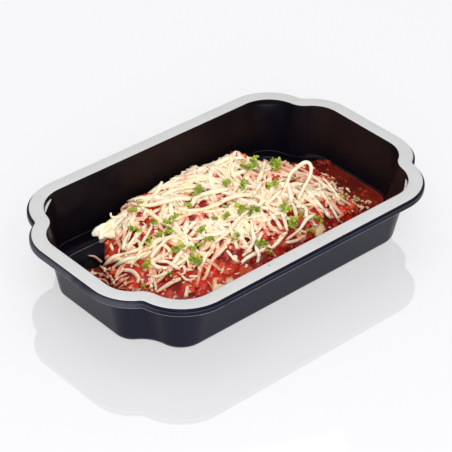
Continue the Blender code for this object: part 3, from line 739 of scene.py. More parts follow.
def tubes(x, y, z, width, thickness, form):
    # a rounded bar carried along each path: superellipse sections square to the path, closed at each end
    (count, stations), sides = x.shape, form["sides"]
    path = np.stack([x, y, z], -1)
    along = unit(np.gradient(path, axis=1))
    across = unit(np.cross(np.array([0.0, 0.0, 1.0]), along))
    lift = np.cross(along, across)
    t = np.linspace(-1, 1, stations)
    roll = sum(draws.normal(0, form["twist"], (count, 1)) * part for part in (1, t))[..., None]
    a, b = np.cos(roll), np.sin(roll)
    across, lift = across * a + lift * b, lift * a - across * b
    sway = 1 + 0.10 * np.sin(t * 5 + draws.uniform(0, 6, (count, 1)))
    taper = (1 - (1 - form["blunt"]) * np.abs(t) ** 6)[None] * sway
    angle = anglesRound(sides) + math.pi / sides
    c, s = (np.sign(part) * np.abs(part) ** 0.7 for part in (np.cos(angle), np.sin(angle)))
    half, rise = ((size / 2)[..., None, None] * taper[..., None, None] for size in (width, thickness))
    points = path[:, :, None] + across[:, :, None] * half * c[:, None] + lift[:, :, None] * rise * s[:, None]
    return points.reshape(-1, 3), closedRows(stations, sides, count)


# Shreds that stand out in the photograph, by its pixels: width and lift in mm, then u, v along the path.
placedShreds = (
    (2.9, 0.3, 129.4, 203.3, 147.2, 205.5, 162.8, 202.2, 177.2, 198.9, 190.6, 198.9),
    (2.4, 0.6, 140.6, 206.7, 151.7, 214.4, 162.8, 222.2, 173.9, 228.9, 181.7, 235.6),
    (2.3, 0.3, 161.7, 196.7, 171.7, 191.1, 185, 187.8, 196, 187),
    (2.3, 0.6, 175, 207.8, 190.6, 210.6, 205, 208.9, 218.3, 203.3, 225, 200),
    (2.6, 0.8, 191.7, 206.6, 196.1, 197.8, 207.2, 193.3, 218.3, 191.1, 228.3, 188.9),
    (2.2, 0.8, 150.6, 257.8, 158.3, 247.8, 169.4, 237.8, 179.4, 238.9, 188.3, 246.7),
    (2.1, 0.6, 162.8, 244.4, 169.4, 250.2, 170.6, 258.9),
    (2.6, 1, 105, 264.4, 117.2, 258.9, 129.4, 262.2, 139.4, 254.4, 140.6, 244.4, 135, 238.9),
    (2.3, 0.5, 121.7, 270, 131.7, 271.1, 138.3, 277.8, 137.2, 283.3),
    (2.2, 0.4, 156.1, 292.4, 165, 286.8, 172.8, 282.2, 180.6, 278.9),
    (2.1, 0.3, 185.6, 298, 187.6, 286.8),
    (1.7, 0.3, 195, 278.9, 187.2, 280, 181.7, 275.6),
    (1.4, 0.2, 88.3, 255.6, 95, 256.7, 101.7, 262.2),
    (1.9, 0.3, 122.8, 250, 125, 241.1, 128.3, 234.4),
    (1.9, 0.4, 151.7, 226.7, 146.1, 236.7, 141.7, 244.4),
    (2.2, 0.4, 183.9, 234.2, 190.6, 226.6, 196.1, 221.1),
    (2.4, 0.9, 286.9, 178.8, 288.8, 187.5, 291.3, 197.5, 288.8, 203.8, 281.3, 207.5),
    (2.2, 0.5, 290, 198.8, 295, 210, 296.3, 220),
    (2.2, 0.8, 296.3, 206.3, 305, 207.5, 306.3, 214, 305, 220),
    (2.1, 0.6, 303, 186, 313, 197.3, 322.8, 208.5, 330.8, 218.8),
    (1.9, 0.5, 311.3, 175, 322.5, 183.8, 333.8, 192.5, 342.5, 200, 352.5, 206.3),
    (1.5, 0.5, 319, 189, 326, 199, 332.3, 209.3, 339, 221),
    (2.3, 0.6, 315, 213.8, 306.3, 220, 299, 230, 286.3, 240),
    (2, 0.4, 285, 242.5, 294, 241.5, 305.5, 236.5),
    (2.3, 0.6, 240, 264.3, 247.5, 257.8, 257.5, 252.5, 265.6, 248.8),
    (2.2, 0.5, 271.3, 249, 278.8, 241.3, 286.3, 232.5),
    (2.3, 0.4, 227.5, 251.3, 233.8, 258.8, 239.4, 263.1),
    (2.4, 0.8, 251.3, 220, 252.5, 230, 253.8, 240, 247.5, 251.3, 242.5, 256.3),
    (2.7, 1.2, 215, 206.3, 227.5, 198.8, 243.8, 195, 257.5, 196.3, 262.5, 201.3, 256.3, 207.5),
    (2.3, 0.7, 215, 242.5, 227.5, 232.5, 240, 217.5, 251.3, 208.8),
    (2.5, 0.6, 230, 226.3, 233.8, 237.5, 237.5, 248.8),
    (2.1, 0.4, 257.5, 262.5, 258.8, 255, 256.3, 245, 262.5, 232.5),
    (2.5, 0.8, 265, 161.3, 261.3, 173.8, 257.5, 181.3),
    (2.3, 0.6, 270, 212.5, 277.5, 222.5, 281.3, 230),
    (2, 0.6, 281.3, 211.3, 285, 222.5, 287.5, 231.3),
    (2.2, 0.5, 265, 205, 271.3, 200, 281.3, 190),
    (1.9, 0.4, 323.5, 178.5, 331.5, 187.8, 339.8, 199.8),
    (2.2, 0.5, 251.3, 197.5, 256.3, 190.5, 261.3, 183.8),
    (2.3, 0.4, 104.4, 265, 113.3, 257.2, 124.4, 253.9, 135.6, 250.6, 142.2, 247.2),
    (2.3, 0.4, 112.2, 268.3, 120, 262.8, 130, 258.3, 142.2, 257.2, 151.1, 251.7),
    (1.9, 0.4, 131.1, 267.2, 133.3, 261.7, 142.2, 255, 151.1, 251.7),
    (2, 0.3, 172.2, 268.3, 180, 262.8, 190, 256.1),
    (1.7, 0.3, 146.7, 275, 155.6, 276.7, 164.4, 273.9, 172.2, 269.4),
    (2.1, 0.4, 157.8, 261.7, 166.7, 261.7, 174.4, 266.1, 180, 269.4),
    (1.5, 0.3, 175.6, 269.4, 183.3, 266.1, 184.4, 272.8, 178.9, 275),
    (2, 0.3, 151.1, 262.8, 157.8, 267.2, 166.7, 268.3),
)

# Shreds in the sauce, soaked red, in the same form.
soakedShreds = (
    (1.4, 0.2, 111.1, 285, 117.8, 278.3, 126.7, 273.9),
    (1.4, 0.2, 113.3, 287.2, 121.1, 281.7, 128.9, 277.2),
    (1.5, 0.2, 148.9, 278.3, 151.1, 285, 152.2, 291.7),
    (1.4, 0.2, 153.3, 278.3, 155.6, 286.1, 155.6, 291.7),
    (1.3, 0.2, 91.1, 271.7, 100, 273.9, 106.7, 276.1),
    (1.3, 0.2, 97.8, 278.3, 105.6, 280.6, 108.9, 285),
    (1.5, 0.2, 104, 270, 110, 276, 114, 283),
    (1.4, 0.2, 118, 289, 125, 284, 134, 281),
    (1.5, 0.2, 141, 279, 143.5, 286, 143, 292),
    (1.4, 0.2, 100, 266, 107, 269.5, 116, 270),
)

# Shreds that stand clear of the heap: width in mm, then u, v and the height in mm along the path.
standingShreds = (
    (2, 146, 200, 26, 150.3, 197, 27.5, 156.1, 193.3, 28.8, 159.2, 187.8, 30.8, 162.2, 181.7, 33),
    (1.3, 110.6, 212.8, 26, 111.7, 216.7, 24.2, 117.2, 217.4, 23.4, 122.7, 215.4, 23.2),
    (2.1, 285.5, 187, 29.3, 288.1, 180.5, 30, 291, 173.5, 30.6, 298.5, 166.6, 31.3, 304.5, 162.6, 31.6, 309,
     163.2, 31.2, 311.3, 168.5, 30.4, 309.6, 177, 29, 304.5, 186.5, 28.2, 298.5, 198.8, 27.6),
)


def alongPath(numbers, width, stations):
    # a smooth curve through rows of numbers: a cubic through each four neighbours, spaced evenly
    rows = np.reshape(np.array(numbers, float), (-1, width))
    p = np.concatenate([2 * rows[:1] - rows[1:2], rows, 2 * rows[-1:] - rows[-2:-1]])
    s = np.linspace(0, len(rows) - 1, stations)
    k = np.minimum(s.astype(int), len(rows) - 2)
    t = (s - k)[:, None]
    a, b, c, d = p[k], p[k + 1], p[k + 2], p[k + 3]
    third = 3 * b - a - 3 * c + d
    return 0.5 * (2 * b + (c - a) * t + (2 * a - 5 * b + 4 * c - d) * t ** 2 + third * t ** 3)


def makeShreds(field, material):
    s = shreds
    base = field.copy()
    sets = []

    def keep(x, y, z, width, thickness, bright):
        # deep shreds and those out of the thick cheese are stained by the sauce
        points, faces = tubes(x, y, z, width, thickness, s)
        deep = np.clip((z - pileAt(base, x, y)) / s["depthOfStain"], 0, 1)
        stain = 1 - deep * s["cleaner"] + draws.normal(0, s["stainSpread"], (len(x), 1))
        stain = stain + s["stainInSauce"] * (1 - cheeseCover(x, y)) - bright
        stain = np.repeat(np.clip(stain, 0, 1), s["sides"])
        tone = np.repeat(draws.uniform(0, 1, len(x)), x.shape[1] * s["sides"])
        sets.append((points, faces, dict(stain=stain, tone=tone)))

    for batch in range(s["batches"]):
        lengths = draws.uniform(s["shortest"], s["longest"], s["each"])
        thickness = draws.uniform(*s["thickness"], (s["each"], 1))
        width = draws.uniform(*s["width"], (s["each"], 1))
        spots = chooseSpots(s["each"], lambda a, b: cheeseCover(a, b) * openness(a, b))
        keep(*layShreds(field, spots, lengths, thickness, s), width, thickness, 0.0)
    rise = np.sin(np.linspace(0, math.pi, s["placedStations"]))[None]
    for rows, bright in ((placedShreds, s["brightPlaced"]), (soakedShreds, s["brightSoaked"])):
        for width, lift, *numbers in rows:
            width = width * s["placedScale"]
            u, v = alongPath(numbers, 2, s["placedStations"]).T
            x, y, z = onPile(field, u, v, lift * mm)
            thickness = np.full((1, 1), s["flatness"] * width * mm)
            z = settle(field, x[None], y[None], thickness, lift * mm * rise, s["placedSink"])
            x, y = throughPixel(u, v, z[0])
            keep(x[None], y[None], z, np.full((1, 1), width * mm), thickness, bright)
    for width, *numbers in standingShreds:
        u, v, z = alongPath(numbers, 3, 2 * s["placedStations"]).T
        x, y = throughPixel(u, v, z * mm)
        thickness = np.full((1, 1), s["standingFlatness"] * width * mm)
        keep(x[None], y[None], z[None] * mm, np.full((1, 1), width * mm), thickness, s["brightStanding"])
    points, polygons, values = joinSets(sets)
    makePiece("cheeseShreds", points, polygons, material, values)


cheeseLook = dict(
    cream=(0.83, 0.68, 0.43), pale=(0.86, 0.77, 0.60), pink=(0.80, 0.43, 0.28), red=(0.55, 0.10, 0.045),
    rough=0.42, shine=0.2, soft=0.12, softDepth=0.7 * mm, softColour=(0.9, 0.85, 0.8),
)


def cheeseFinish():
    look, f = cheeseLook, Finish("grated cheese")
    stain = f.value("stain") + (f.noise(170, 2) - 0.5) * 0.5
    colour = f.layers(
        look["cream"],
        (f.value("tone"), look["pale"]),
        (stain.step(0.35, 0.85) * 0.85, look["pink"]),
        (stain.step(0.8, 1.15) * 0.8, look["red"]),
    )
    return f.paint(Base_Color=colour, Roughness=look["rough"] + (f.noise(240, 2) - 0.5) * 0.2,
                   Normal=f.bump(f.noise(500, 2), 0.12 * mm, 0.3), Specular_IOR_Level=look["shine"],
                   Subsurface_Weight=look["soft"], Subsurface_Radius=look["softColour"],
                   Subsurface_Scale=look["softDepth"])


# Short broken bits of cheese; those near the pool lie at the pixels u, v.
crumbs = dict(
    onHeap=210, onFringe=170, stations=4, sides=6, twist=0.5, blunt=0.45, rough=0.13 * mm,
    bend=0.7, wiggle=0.2, radial=0.0, longest=5.5 * mm, shortest=1.2 * mm,
    thickness=(0.5, 1.0), width=(0.9, 2.2), stain=0.85, stainSpread=0.18, bright=(0.35, 0.05, 0.0),
    eachThere=2, stray=2.0,
    nearPool=(
        336, 184, 339, 188, 343, 192, 346, 196, 349, 199, 352, 202, 356, 205, 360, 207, 362, 203, 366, 207,
        332, 180, 345, 190, 357, 201, 369, 205, 104, 268, 112, 276, 120, 282, 131, 288, 140, 292, 108, 272,
        89, 270, 93, 273, 97, 276, 101, 280, 96, 270, 104, 276, 107, 281, 111, 284,
    ),
)


def makeCrumbs(field, material):
    # between the shreds, over the bare sauce, and a few in the pool
    c = crumbs

    def fringe(x, y):
        share, angle = heapShare(x, y)
        beside = (share >= 1.0) & (share < 1.09) & (np.abs(np.cos(angle)) > 0.93)
        return (1 - cheeseCover(x, y)) * (share < 1.0) * 0.9 + 0.25 * beside

    centres = np.repeat(np.reshape(np.array(c["nearPool"], float), (-1, 2)), c["eachThere"], 0)
    centres = centres + draws.normal(0, c["stray"], centres.shape)
    near = onPile(field, centres[:, 0], centres[:, 1])[:2]
    sets = []
    counts, weights = (c["onHeap"], c["onFringe"], len(centres)), (cheeseCover, fringe, None)
    for count, weight, bright in zip(counts, weights, c["bright"]):
        lengths = draws.uniform(0, 1, count) ** (1.6 if weight else 3)
        lengths = mix(c["shortest"], c["longest"], lengths)
        thickness, width = (draws.uniform(*c[key], (count, 1)) * mm for key in ("thickness", "width"))
        spots = chooseSpots(count, weight) if weight else near
        points, faces = tubes(*layShreds(field, spots, lengths, thickness, c), width, thickness, c)
        points = points + draws.normal(0, c["rough"], points.shape)
        stain = np.clip(c["stain"] - bright + draws.normal(0, c["stainSpread"], count), 0, 1)
        tone, each = draws.uniform(0, 1, count), c["stations"] * c["sides"]
        sets.append((points, faces, dict(stain=np.repeat(stain, each), tone=np.repeat(tone, each))))
    points, polygons, values = joinSets(sets)
    makePiece("cheeseCrumbs", points, polygons, material, values)


# Tomato: small irregular dice. Placed ones are u, v and size in mm, those on the edge u, v, height and size.
dice = dict(
    rings=7, spokes=12, scattered=64, size=(1.1 * mm, 2.6 * mm), scale=0.8, flat=0.7, rough=0.3,
    edge=((143.5, 198, 25.4, 4.2), (137.5, 201.5, 24.2, 3.2), (150.5, 195.5, 26.4, 2.6),
          (160, 189.5, 27.4, 2.2), (236, 154.5, 29.6, 3), (242, 156, 29.4, 2.6), (230, 158, 29.6, 2.2),
          (246, 166, 30, 2.4)),
    placed=((116, 272, 3.2), (143, 232, 3.0), (265, 251, 3.2), (350, 206, 3.6), (225, 272, 3.0),
            (210, 275, 2.6), (236, 262, 2.6), (121, 246, 2.4), (108, 243, 2.2), (322, 199, 2.6),
            (333, 207, 2.8), (344, 212, 2.8), (128, 289, 2.8), (146, 290, 2.6), (228, 246, 2.4),
            (226, 178, 2.4), (280, 172, 2.2)),
)


def lumpMeshes(x, y, z, size, form):
    # spheres squashed and dented by waves in their own two angles, with each pole closed by one polygon
    count, rings, spokes = len(x), form["rings"], form["spokes"]
    polar = np.linspace(0.16, math.pi - 0.16, rings)[None, :, None]
    turn = anglesRound(spokes)[None, None]
    phase = draws.uniform(0, math.tau, (count, 4, 1, 1))
    dent = np.sin(2 * turn + phase[:, 0]) * np.sin(polar)
    dent = dent + 0.6 * np.sin(3 * turn + phase[:, 1]) * np.sin(2 * polar)
    dent = 1 + form["rough"] * (dent + 0.5 * np.cos(3 * polar + phase[:, 2]))
    square = 1 + 0.2 * np.cos(4 * turn)
    stretch = draws.uniform(0.75, 1.25, (count, 2, 1, 1))
    px = np.sin(polar) * np.cos(turn) * dent * square * stretch[:, 0]
    py = np.sin(polar) * np.sin(turn) * dent * square * stretch[:, 1]
    pz = np.cos(polar) * dent * form["flat"]
    spin = draws.uniform(0, math.tau, (count, 1, 1))
    px, py = px * np.cos(spin) - py * np.sin(spin), px * np.sin(spin) + py * np.cos(spin)
    points = np.stack([px, py, pz], -1) * size[:, None, None, None] + np.stack([x, y, z], -1)[:, None, None]
    return points.reshape(-1, 3), [faces[:, ::-1] for faces in closedRows(rings, spokes, count)]


def makeDice(field, material):
    d = dice
    placed, edge = np.array(d["placed"], float), np.array(d["edge"], float)

    def bareSauce(x, y):
        return np.clip(1.05 - cheeseCover(x, y), 0.12, 1) * (heapShare(x, y)[0] < 0.97)

    scatterX, scatterY = chooseSpots(d["scattered"], bareSauce)
    onEdge = throughPixel(edge[:, 0], edge[:, 1], edge[:, 2] * mm)
    x, y, z = (np.concatenate(parts) for parts in zip(
        onPile(field, placed[:, 0], placed[:, 1]),
        (scatterX, scatterY, pileAt(field, scatterX, scatterY)),
        (*onEdge, edge[:, 2] * mm),
    ))
    scattered = draws.uniform(*d["size"], d["scattered"])
    size = np.concatenate([placed[:, 2] * mm * d["scale"], scattered, edge[:, 3] * mm * d["scale"]])
    points, polygons = lumpMeshes(x, y, z - size * 0.1, size, d)
    tone = np.repeat(draws.uniform(0, 1, len(x)), d["rings"] * d["spokes"])
    makePiece("tomatoDice", points, polygons, material, dict(tone=tone))
    for turn in np.linspace(0, math.tau, 8, endpoint=False):
        raisePile(field, x + 0.6 * size * math.cos(turn), y + 0.6 * size * math.sin(turn), z + size * 0.55)


diceLook = dict(
    dark=(0.42, 0.018, 0.008), light=(0.64, 0.070, 0.016), flesh=(0.80, 0.20, 0.09), rough=0.12, shine=0.3,
)


def diceFinish():
    look, f = diceLook, Finish("tomato dice")
    colour = f.layers(look["dark"], (f.value("tone").step(0.35, 0.75), look["light"]),
                      (f.noise(300, 3).step(0.52, 0.7) * 0.5, look["flesh"]))
    return f.paint(Base_Color=colour, Roughness=look["rough"] + f.noise(400, 2) * 0.12,
                   Normal=f.bump(f.noise(520, 3), 0.35 * mm, 0.6), Specular_IOR_Level=look["shine"])


# Parsley: curled, serrated leaflets in small sprigs, which are u, v and size.
parsley = dict(
    rings=2, spokes=18, leaf=(0.85 * mm, 1.75 * mm), thickness=0.18 * mm, drop=5 * mm, spread=1.9 * mm,
    below=36.8 * mm, leaves=8, far=5.6, near=2.2, lobes=0.42, teeth=0.24, curl=0.34, crimp=0.22, cup=0.25,
    sprigs=(
        (196, 192, 1.1), (135, 230, 1), (175, 217, 0.9), (161, 236, 0.9), (149, 242, 0.9), (178, 250, 1.1),
        (195, 248, 1), (200, 231, 0.9), (210, 240, 0.9), (195, 262, 1.2), (147, 265, 1.1), (170, 275, 0.6),
        (169, 230, 0.9), (226, 217, 0.7), (228, 183, 0.9), (254, 163, 1.1), (275, 165, 1.5), (243, 185, 1),
        (271, 186, 1), (241, 208, 0.9), (253, 212, 1.2), (286, 209, 0.9), (293, 225, 1.1), (236, 238, 0.8),
        (292, 177, 0.5), (302, 217, 0.6), (317, 220, 0.9), (310, 232, 0.8), (260, 244, 0.9), (269, 253, 0.8),
        (133, 211, 0.7), (139, 204, 0.5), (246, 167, 1), (188, 206, 0.7), (226, 208, 0.5), (240, 213, 0.7),
        (154, 223, 0.7), (343, 196, 0.6), (356, 199, 0.4), (143, 286, 0.6), (166, 223, 0.7), (214, 219, 0.5),
    ),
)


def makeParsley(field, material):
    # a leaflet is a lobed and toothed disc, curled by waves that grow outwards: radius 1 + lobes + teeth
    p = parsley
    rows = []
    for u, v, size in p["sprigs"]:
        count = int(round(p["leaves"] * size)) + 2
        far = p["far"] * size * draws.uniform(-1, 1, count)
        near = p["near"] * size * draws.normal(0, 0.7, count)
        turn = draws.uniform(0, math.tau)
        leafU = u + far * math.cos(turn) - near * math.sin(turn)
        leafV = v + 0.8 * (far * math.sin(turn) + near * math.cos(turn))
        rows.append(np.stack([leafU, leafV, np.full(count, size), np.full(count, u), np.full(count, v)], -1))
    leafU, leafV, sizes, sprigU, sprigV = np.concatenate(rows).T
    count = len(sizes)
    x, y, z = onPile(field, leafU, leafV)

    # a leaflet that would miss the heap's far edge stays with its sprig
    cx, cy, cz = onPile(field, sprigU, sprigV)
    missed = z < cz - p["drop"]
    x = np.where(missed, cx + p["spread"] * draws.normal(0, 1, count), x)
    y = np.where(missed, cy + p["spread"] * draws.normal(0, 1, count), y)
    z = np.where(missed, np.maximum(pileAt(field, x, y), cz - mm), z)
    z = z + draws.uniform(0.2, 1.3, count) * mm * np.minimum(sizes, 1.2)
    leaf = draws.uniform(*p["leaf"], count) * np.clip(sizes, 0.6, 1.15)

    r = (np.linspace(0, 1, p["rings"] + 1)[1:])[None, :, None]
    t = anglesRound(p["spokes"])[None, None]
    phase = draws.uniform(0, math.tau, (count, 3, 1, 1))
    edge = 1 + r ** 2 * (p["lobes"] * np.cos(3 * t + phase[:, 0]) + p["teeth"] * np.cos(8 * t + phase[:, 1]))
    curl = p["curl"] * np.cos(3 * t + phase[:, 2]) + p["crimp"] * np.cos(5 * t + phase[:, 0])
    shape = np.stack([r * np.cos(t) * edge, r * np.sin(t) * edge, r ** 2 * curl + p["cup"] * r ** 2], -1)
    shape = np.concatenate([np.zeros((count, 1, 3)), shape.reshape(count, -1, 3)], 1) * leaf[:, None, None]

    tilt, spin = draws.uniform(0.1, 1.25, count), draws.uniform(0, math.tau, count)
    c, s, cs, sn = np.cos(tilt), np.sin(tilt), np.cos(spin), np.sin(spin)
    turns = [np.stack(row, -1) for row in ((cs, -sn * c, sn * s), (sn, cs * c, -cs * s), (0 * c, s, c))]
    turned = np.stack([(shape * row[:, None]).sum(-1) for row in turns], -1)
    turned = turned + np.stack([x, y, z], -1)[:, None]
    normal = np.stack([row[:, 2] for row in turns], -1)[:, None] * p["thickness"] / 2
    points = np.concatenate([turned + normal, turned - normal], 1)
    points[..., 2] = np.minimum(points[..., 2], p["below"])

    size = 1 + p["rings"] * p["spokes"]
    ring = np.arange(p["spokes"])
    after = (ring + 1) % p["spokes"]
    fan = np.stack([np.zeros_like(ring), 1 + ring, 1 + after], -1)
    sheet = gridFaces(p["rings"], p["spokes"])[:, ::-1] + 1
    last = size - p["spokes"]
    rim = np.stack([last + ring, size + last + ring, size + last + after, last + after], -1)
    quads = np.concatenate([sheet, sheet[:, ::-1] + size, rim])
    fans = np.concatenate([fan, fan[:, ::-1] + size])
    tone = np.repeat(draws.uniform(0, 1, count), 2 * size)
    outer = np.broadcast_to(np.concatenate([[0], np.repeat(r.ravel(), p["spokes"])]), (count, 2, size))
    makePiece("parsley", points.reshape(-1, 3), [copiesOf(faces, count, 2 * size) for faces in (quads, fans)],
              material, dict(tone=tone, outer=outer))


parsleyLook = dict(
    deep=(0.13, 0.22, 0.008), light=(0.52, 0.58, 0.03), tips=(0.46, 0.52, 0.04), dark=(0.035, 0.075, 0.006),
    rough=0.42,
)


def parsleyFinish():
    look, f = parsleyLook, Finish("parsley")
    colour = f.layers(
        look["deep"],
        (f.value("tone"), look["light"]),
        (f.value("outer").step(0.5, 1.0) * 0.4, look["tips"]),
        (f.noise(420, 2).step(0.5, 0.66) * 0.6, look["dark"]),
    )
    return f.paint(Base_Color=colour, Roughness=look["rough"], Normal=f.bump(f.noise(600, 2), 0.2 * mm, 0.5))


# Sauce pool: a ring sector between the heap's foot and the wall, with small waves, bits and a raised edge.
pool = dict(
    level=6.9 * mm, low=1.3 * mm, rim=0.4 * mm, start=math.radians(17.5), sweep=math.radians(220),
    stations=420, across=34, roundFor=14, edge=0.28 * mm, edgeWidth=0.7 * mm, wave=0.035 * mm, waves=9,
    wallGap=0.35 * mm, heapGap=0.1 * mm, bottomIn=3.6 * mm, bits=170,
    bitReach=(0.88, 1.15), bitsRight=0.6, bitsAlong=(-40, 30), bitSize=(0.5, 1.5), bitHeight=(0.1, 0.45),
)


def evenRing(ring, count):
    # the same closed line with its points evenly spaced along it
    closed = np.concatenate([ring, ring[:1]])
    gone = np.concatenate([[0], np.cumsum(np.linalg.norm(np.diff(closed, axis=0), axis=1))])
    where = np.linspace(0, gone[-1], count, endpoint=False)
    return np.stack([np.interp(where, gone, closed[:, 0]), np.interp(where, gone, closed[:, 1])], -1)


def makePool(material):
    p, (middleX, middleY) = pool, heap["middle"]
    part = np.linspace(0, 1, p["stations"])
    angle = p["start"] - part * p["sweep"]
    ring = evenRing(trayOutline([wallOffset(p["level"], p["wallGap"])])[0], 1600) - np.array(heap["middle"])
    around = np.arctan2(ring[:, 1], ring[:, 0])
    order = np.argsort(around)
    away = np.hypot(ring[:, 0], ring[:, 1])[order]
    reach = np.interp((angle + math.pi) % math.tau - math.pi, around[order], away, period=math.tau)
    inner = footRadius(angle) + p["heapGap"]
    room = (reach - inner)[:, None]
    ends = np.clip(np.minimum(part, 1 - part) * p["stations"] / p["roundFor"], 0, 1)
    roundEnds = np.sqrt(np.clip(1 - (1 - ends) ** 2, 0, 1))[:, None]
    w = np.linspace(0, 1, p["across"])[None]
    distance = inner[:, None] + (0.5 + (w - 0.5) * (0.25 + 0.75 * roundEnds)) * room
    x, y = middleX + distance * np.cos(angle)[:, None], middleY + distance * np.sin(angle)[:, None]
    rise = p["edge"] * np.exp(-((1 - w) * room / p["edgeWidth"]) ** 2)
    wave = np.zeros_like(x)
    for number in range(p["waves"]):
        length, heading = (1.3 + 0.9 * number) * mm, 2.4 * number
        sway = np.sin(runAlong(x, y, heading) / length + 1.9 * number)
        wave = wave + (0.5 + 0.16 * number) * sway
    count = p["bits"]
    bitReach = draws.uniform(*p["bitReach"], count) * footRadius(np.zeros(1))
    bitX = middleX + bitReach * np.where(draws.uniform(0, 1, count) < p["bitsRight"], 1, -1)
    spans = (p["bitsAlong"], p["bitSize"], p["bitHeight"])
    bitY, bitSize, bitRise = (draws.uniform(*span, count) * mm for span in spans)
    bits = roundBumps(x, y, np.stack([bitX, bitY, bitSize, bitRise], -1))
    floor = p["low"] + p["rim"]
    z = floor + (p["level"] + rise + wave * p["wave"] + bits - p["low"] - p["rim"]) * roundEnds
    below = np.stack([inner + (reach - inner) - p["bottomIn"], inner], -1)
    x = np.concatenate([x, middleX + below * np.cos(angle)[:, None]], 1)
    y = np.concatenate([y, middleY + below * np.sin(angle)[:, None]], 1)
    z = np.concatenate([z, np.full(below.shape, p["low"])], 1)
    shore = np.concatenate([np.broadcast_to(w, bits.shape), np.ones(below.shape)], 1)
    bitty = np.concatenate([bits / (p["bitHeight"][1] * mm), np.zeros(below.shape)], 1)
    faces = [part[:, ::-1] for part in closedRows(*x.shape)]
    makePiece("saucePool", asRows(x, y, z), faces, material,
              dict(shore=shore, bits=bitty), ("tomato_sauce",))


poolLook = dict(
    # the darkest red along the wall is painted shade where the pool meets it
    dark=(0.09, 0.008, 0.005), red=(0.2, 0.015, 0.006), bits=(0.5, 0.055, 0.022), shore=(0.08, 0.006, 0.004),
    pale=(0.60, 0.24, 0.12), rough=0.06, index=1.36, shine=0.28,
)


def poolFinish():
    look, f = poolLook, Finish("pool of sauce")
    colour = f.layers(
        look["dark"],
        (f.noise(55, 3).step(0.35, 0.65), look["red"]),
        (f.value("bits").step(0.3, 0.9) * 0.8, look["bits"]),
        # painted shade: darker in the narrow band where the pool meets the wall
        (f.value("shore").step(0.9, 1.0) * 0.6, look["shore"]),
        (f.noise(330, 3).step(0.66, 0.74) * 0.55, look["pale"]),
    )
    return f.paint(Base_Color=colour, Roughness=look["rough"] + f.noise(90, 2).step(0.4, 0.7) * 0.06,
                   Normal=f.bump(f.noise(240, 4), 0.2 * mm, 0.35), IOR=look["index"],
                   Specular_IOR_Level=look["shine"])


# Pasta sheet: a wavy slab through the heap, bare at its left back corner.
pasta = dict(
    left=-60.5 * mm, right=44.0 * mm, front=-24.0 * mm, back=41.0 * mm, backTrim=11.0 * mm,
    thickness=1.7 * mm, low=15.5 * mm, rise=9.5 * mm, cover=5.4 * mm, wave=1.1 * mm,
    bareLine=(-62.0 * mm, 28.0 * mm, 0.33),
    columns=120, rows=70, rim=0.8 * mm, fine=0.12 * mm,
)


def sheetHeight(x, y):
    # its own wavy rise where it is bare, and a depth under the topping elsewhere
    s = pasta
    startX, startY, slope = s["bareLine"]
    bare = (y - startY) - slope * (x - startX)
    own = s["low"] + s["rise"] * smoothStep((x - s["left"]) / (42 * mm))
    own = own - 0.030 * np.clip(y - 34 * mm, 0, None) ** 2 / mm
    own = own + s["wave"] * np.sin(y / (3.1 * mm)) * (1 - smoothStep((x - s["left"]) / (20 * mm)))
    covered = np.minimum(own, heapHeight(x, y) - s["cover"])
    return mix(covered, own, smoothStep((bare + 7 * mm) / (7 * mm)))


def makeSheet(material):
    # a grid crowded towards its borders and thinned to nothing there, so both faces share the border's points
    s = pasta
    u, v = (0.5 - 0.5 * np.cos(np.linspace(0, math.pi, count)) for count in (s["columns"], s["rows"]))
    u, v = np.meshgrid(u, v, indexing="ij")
    y = s["front"] + v * (s["back"] - s["front"])
    left = s["left"] + 1.6 * mm * np.sin(y / (4.2 * mm))
    x = left + u * (s["right"] - left) + 26 * mm * (1 - v) * (1 - u) ** 2
    y = y - s["backTrim"] * v * smoothStep(u)
    border = np.minimum(np.minimum(u, 1 - u) * 104, np.minimum(v, 1 - v) * 65) * mm
    half = s["thickness"] / 2 * np.sqrt(np.clip(1 - (1 - np.clip(border / s["rim"], 0, 1)) ** 2, 0, 1))
    middle = sheetHeight(x, y) + s["fine"] * np.sin(x / (1.7 * mm)) * np.sin(y / (2.2 * mm))
    rows, columns = x.shape
    over = np.arange(rows * columns).reshape(rows, columns)
    inner = np.zeros((rows, columns), bool)
    inner[1:-1, 1:-1] = True
    under = over.copy()
    under[inner] = rows * columns + np.arange(inner.sum())
    points = np.concatenate([asRows(x, y, middle + half), np.stack([x, y, middle - half], -1)[inner]])
    top = np.stack([over[:-1, :-1], over[1:, :-1], over[1:, 1:], over[:-1, 1:]], -1).reshape(-1, 4)
    low = np.stack([under[:-1, :-1], under[:-1, 1:], under[1:, 1:], under[1:, :-1]], -1).reshape(-1, 4)
    makePiece("pastaSheet", points, [top, low], material, None, ("pasta_sheet",))


pastaLook = dict(yellow=(0.88, 0.74, 0.46), white=(0.92, 0.85, 0.68), pink=(0.82, 0.44, 0.28), rough=0.34)


def pastaFinish():
    look, f = pastaLook, Finish("cooked pasta")
    colour = f.layers(look["yellow"], (f.noise(160, 2).step(0.35, 0.7), look["white"]),
                      (f.noise(120, 3).step(0.60, 0.74) * 0.4, look["pink"]))
    return f.paint(Base_Color=colour, Roughness=look["rough"], Normal=f.bump(f.noise(500, 3), 0.25 * mm, 0.4))


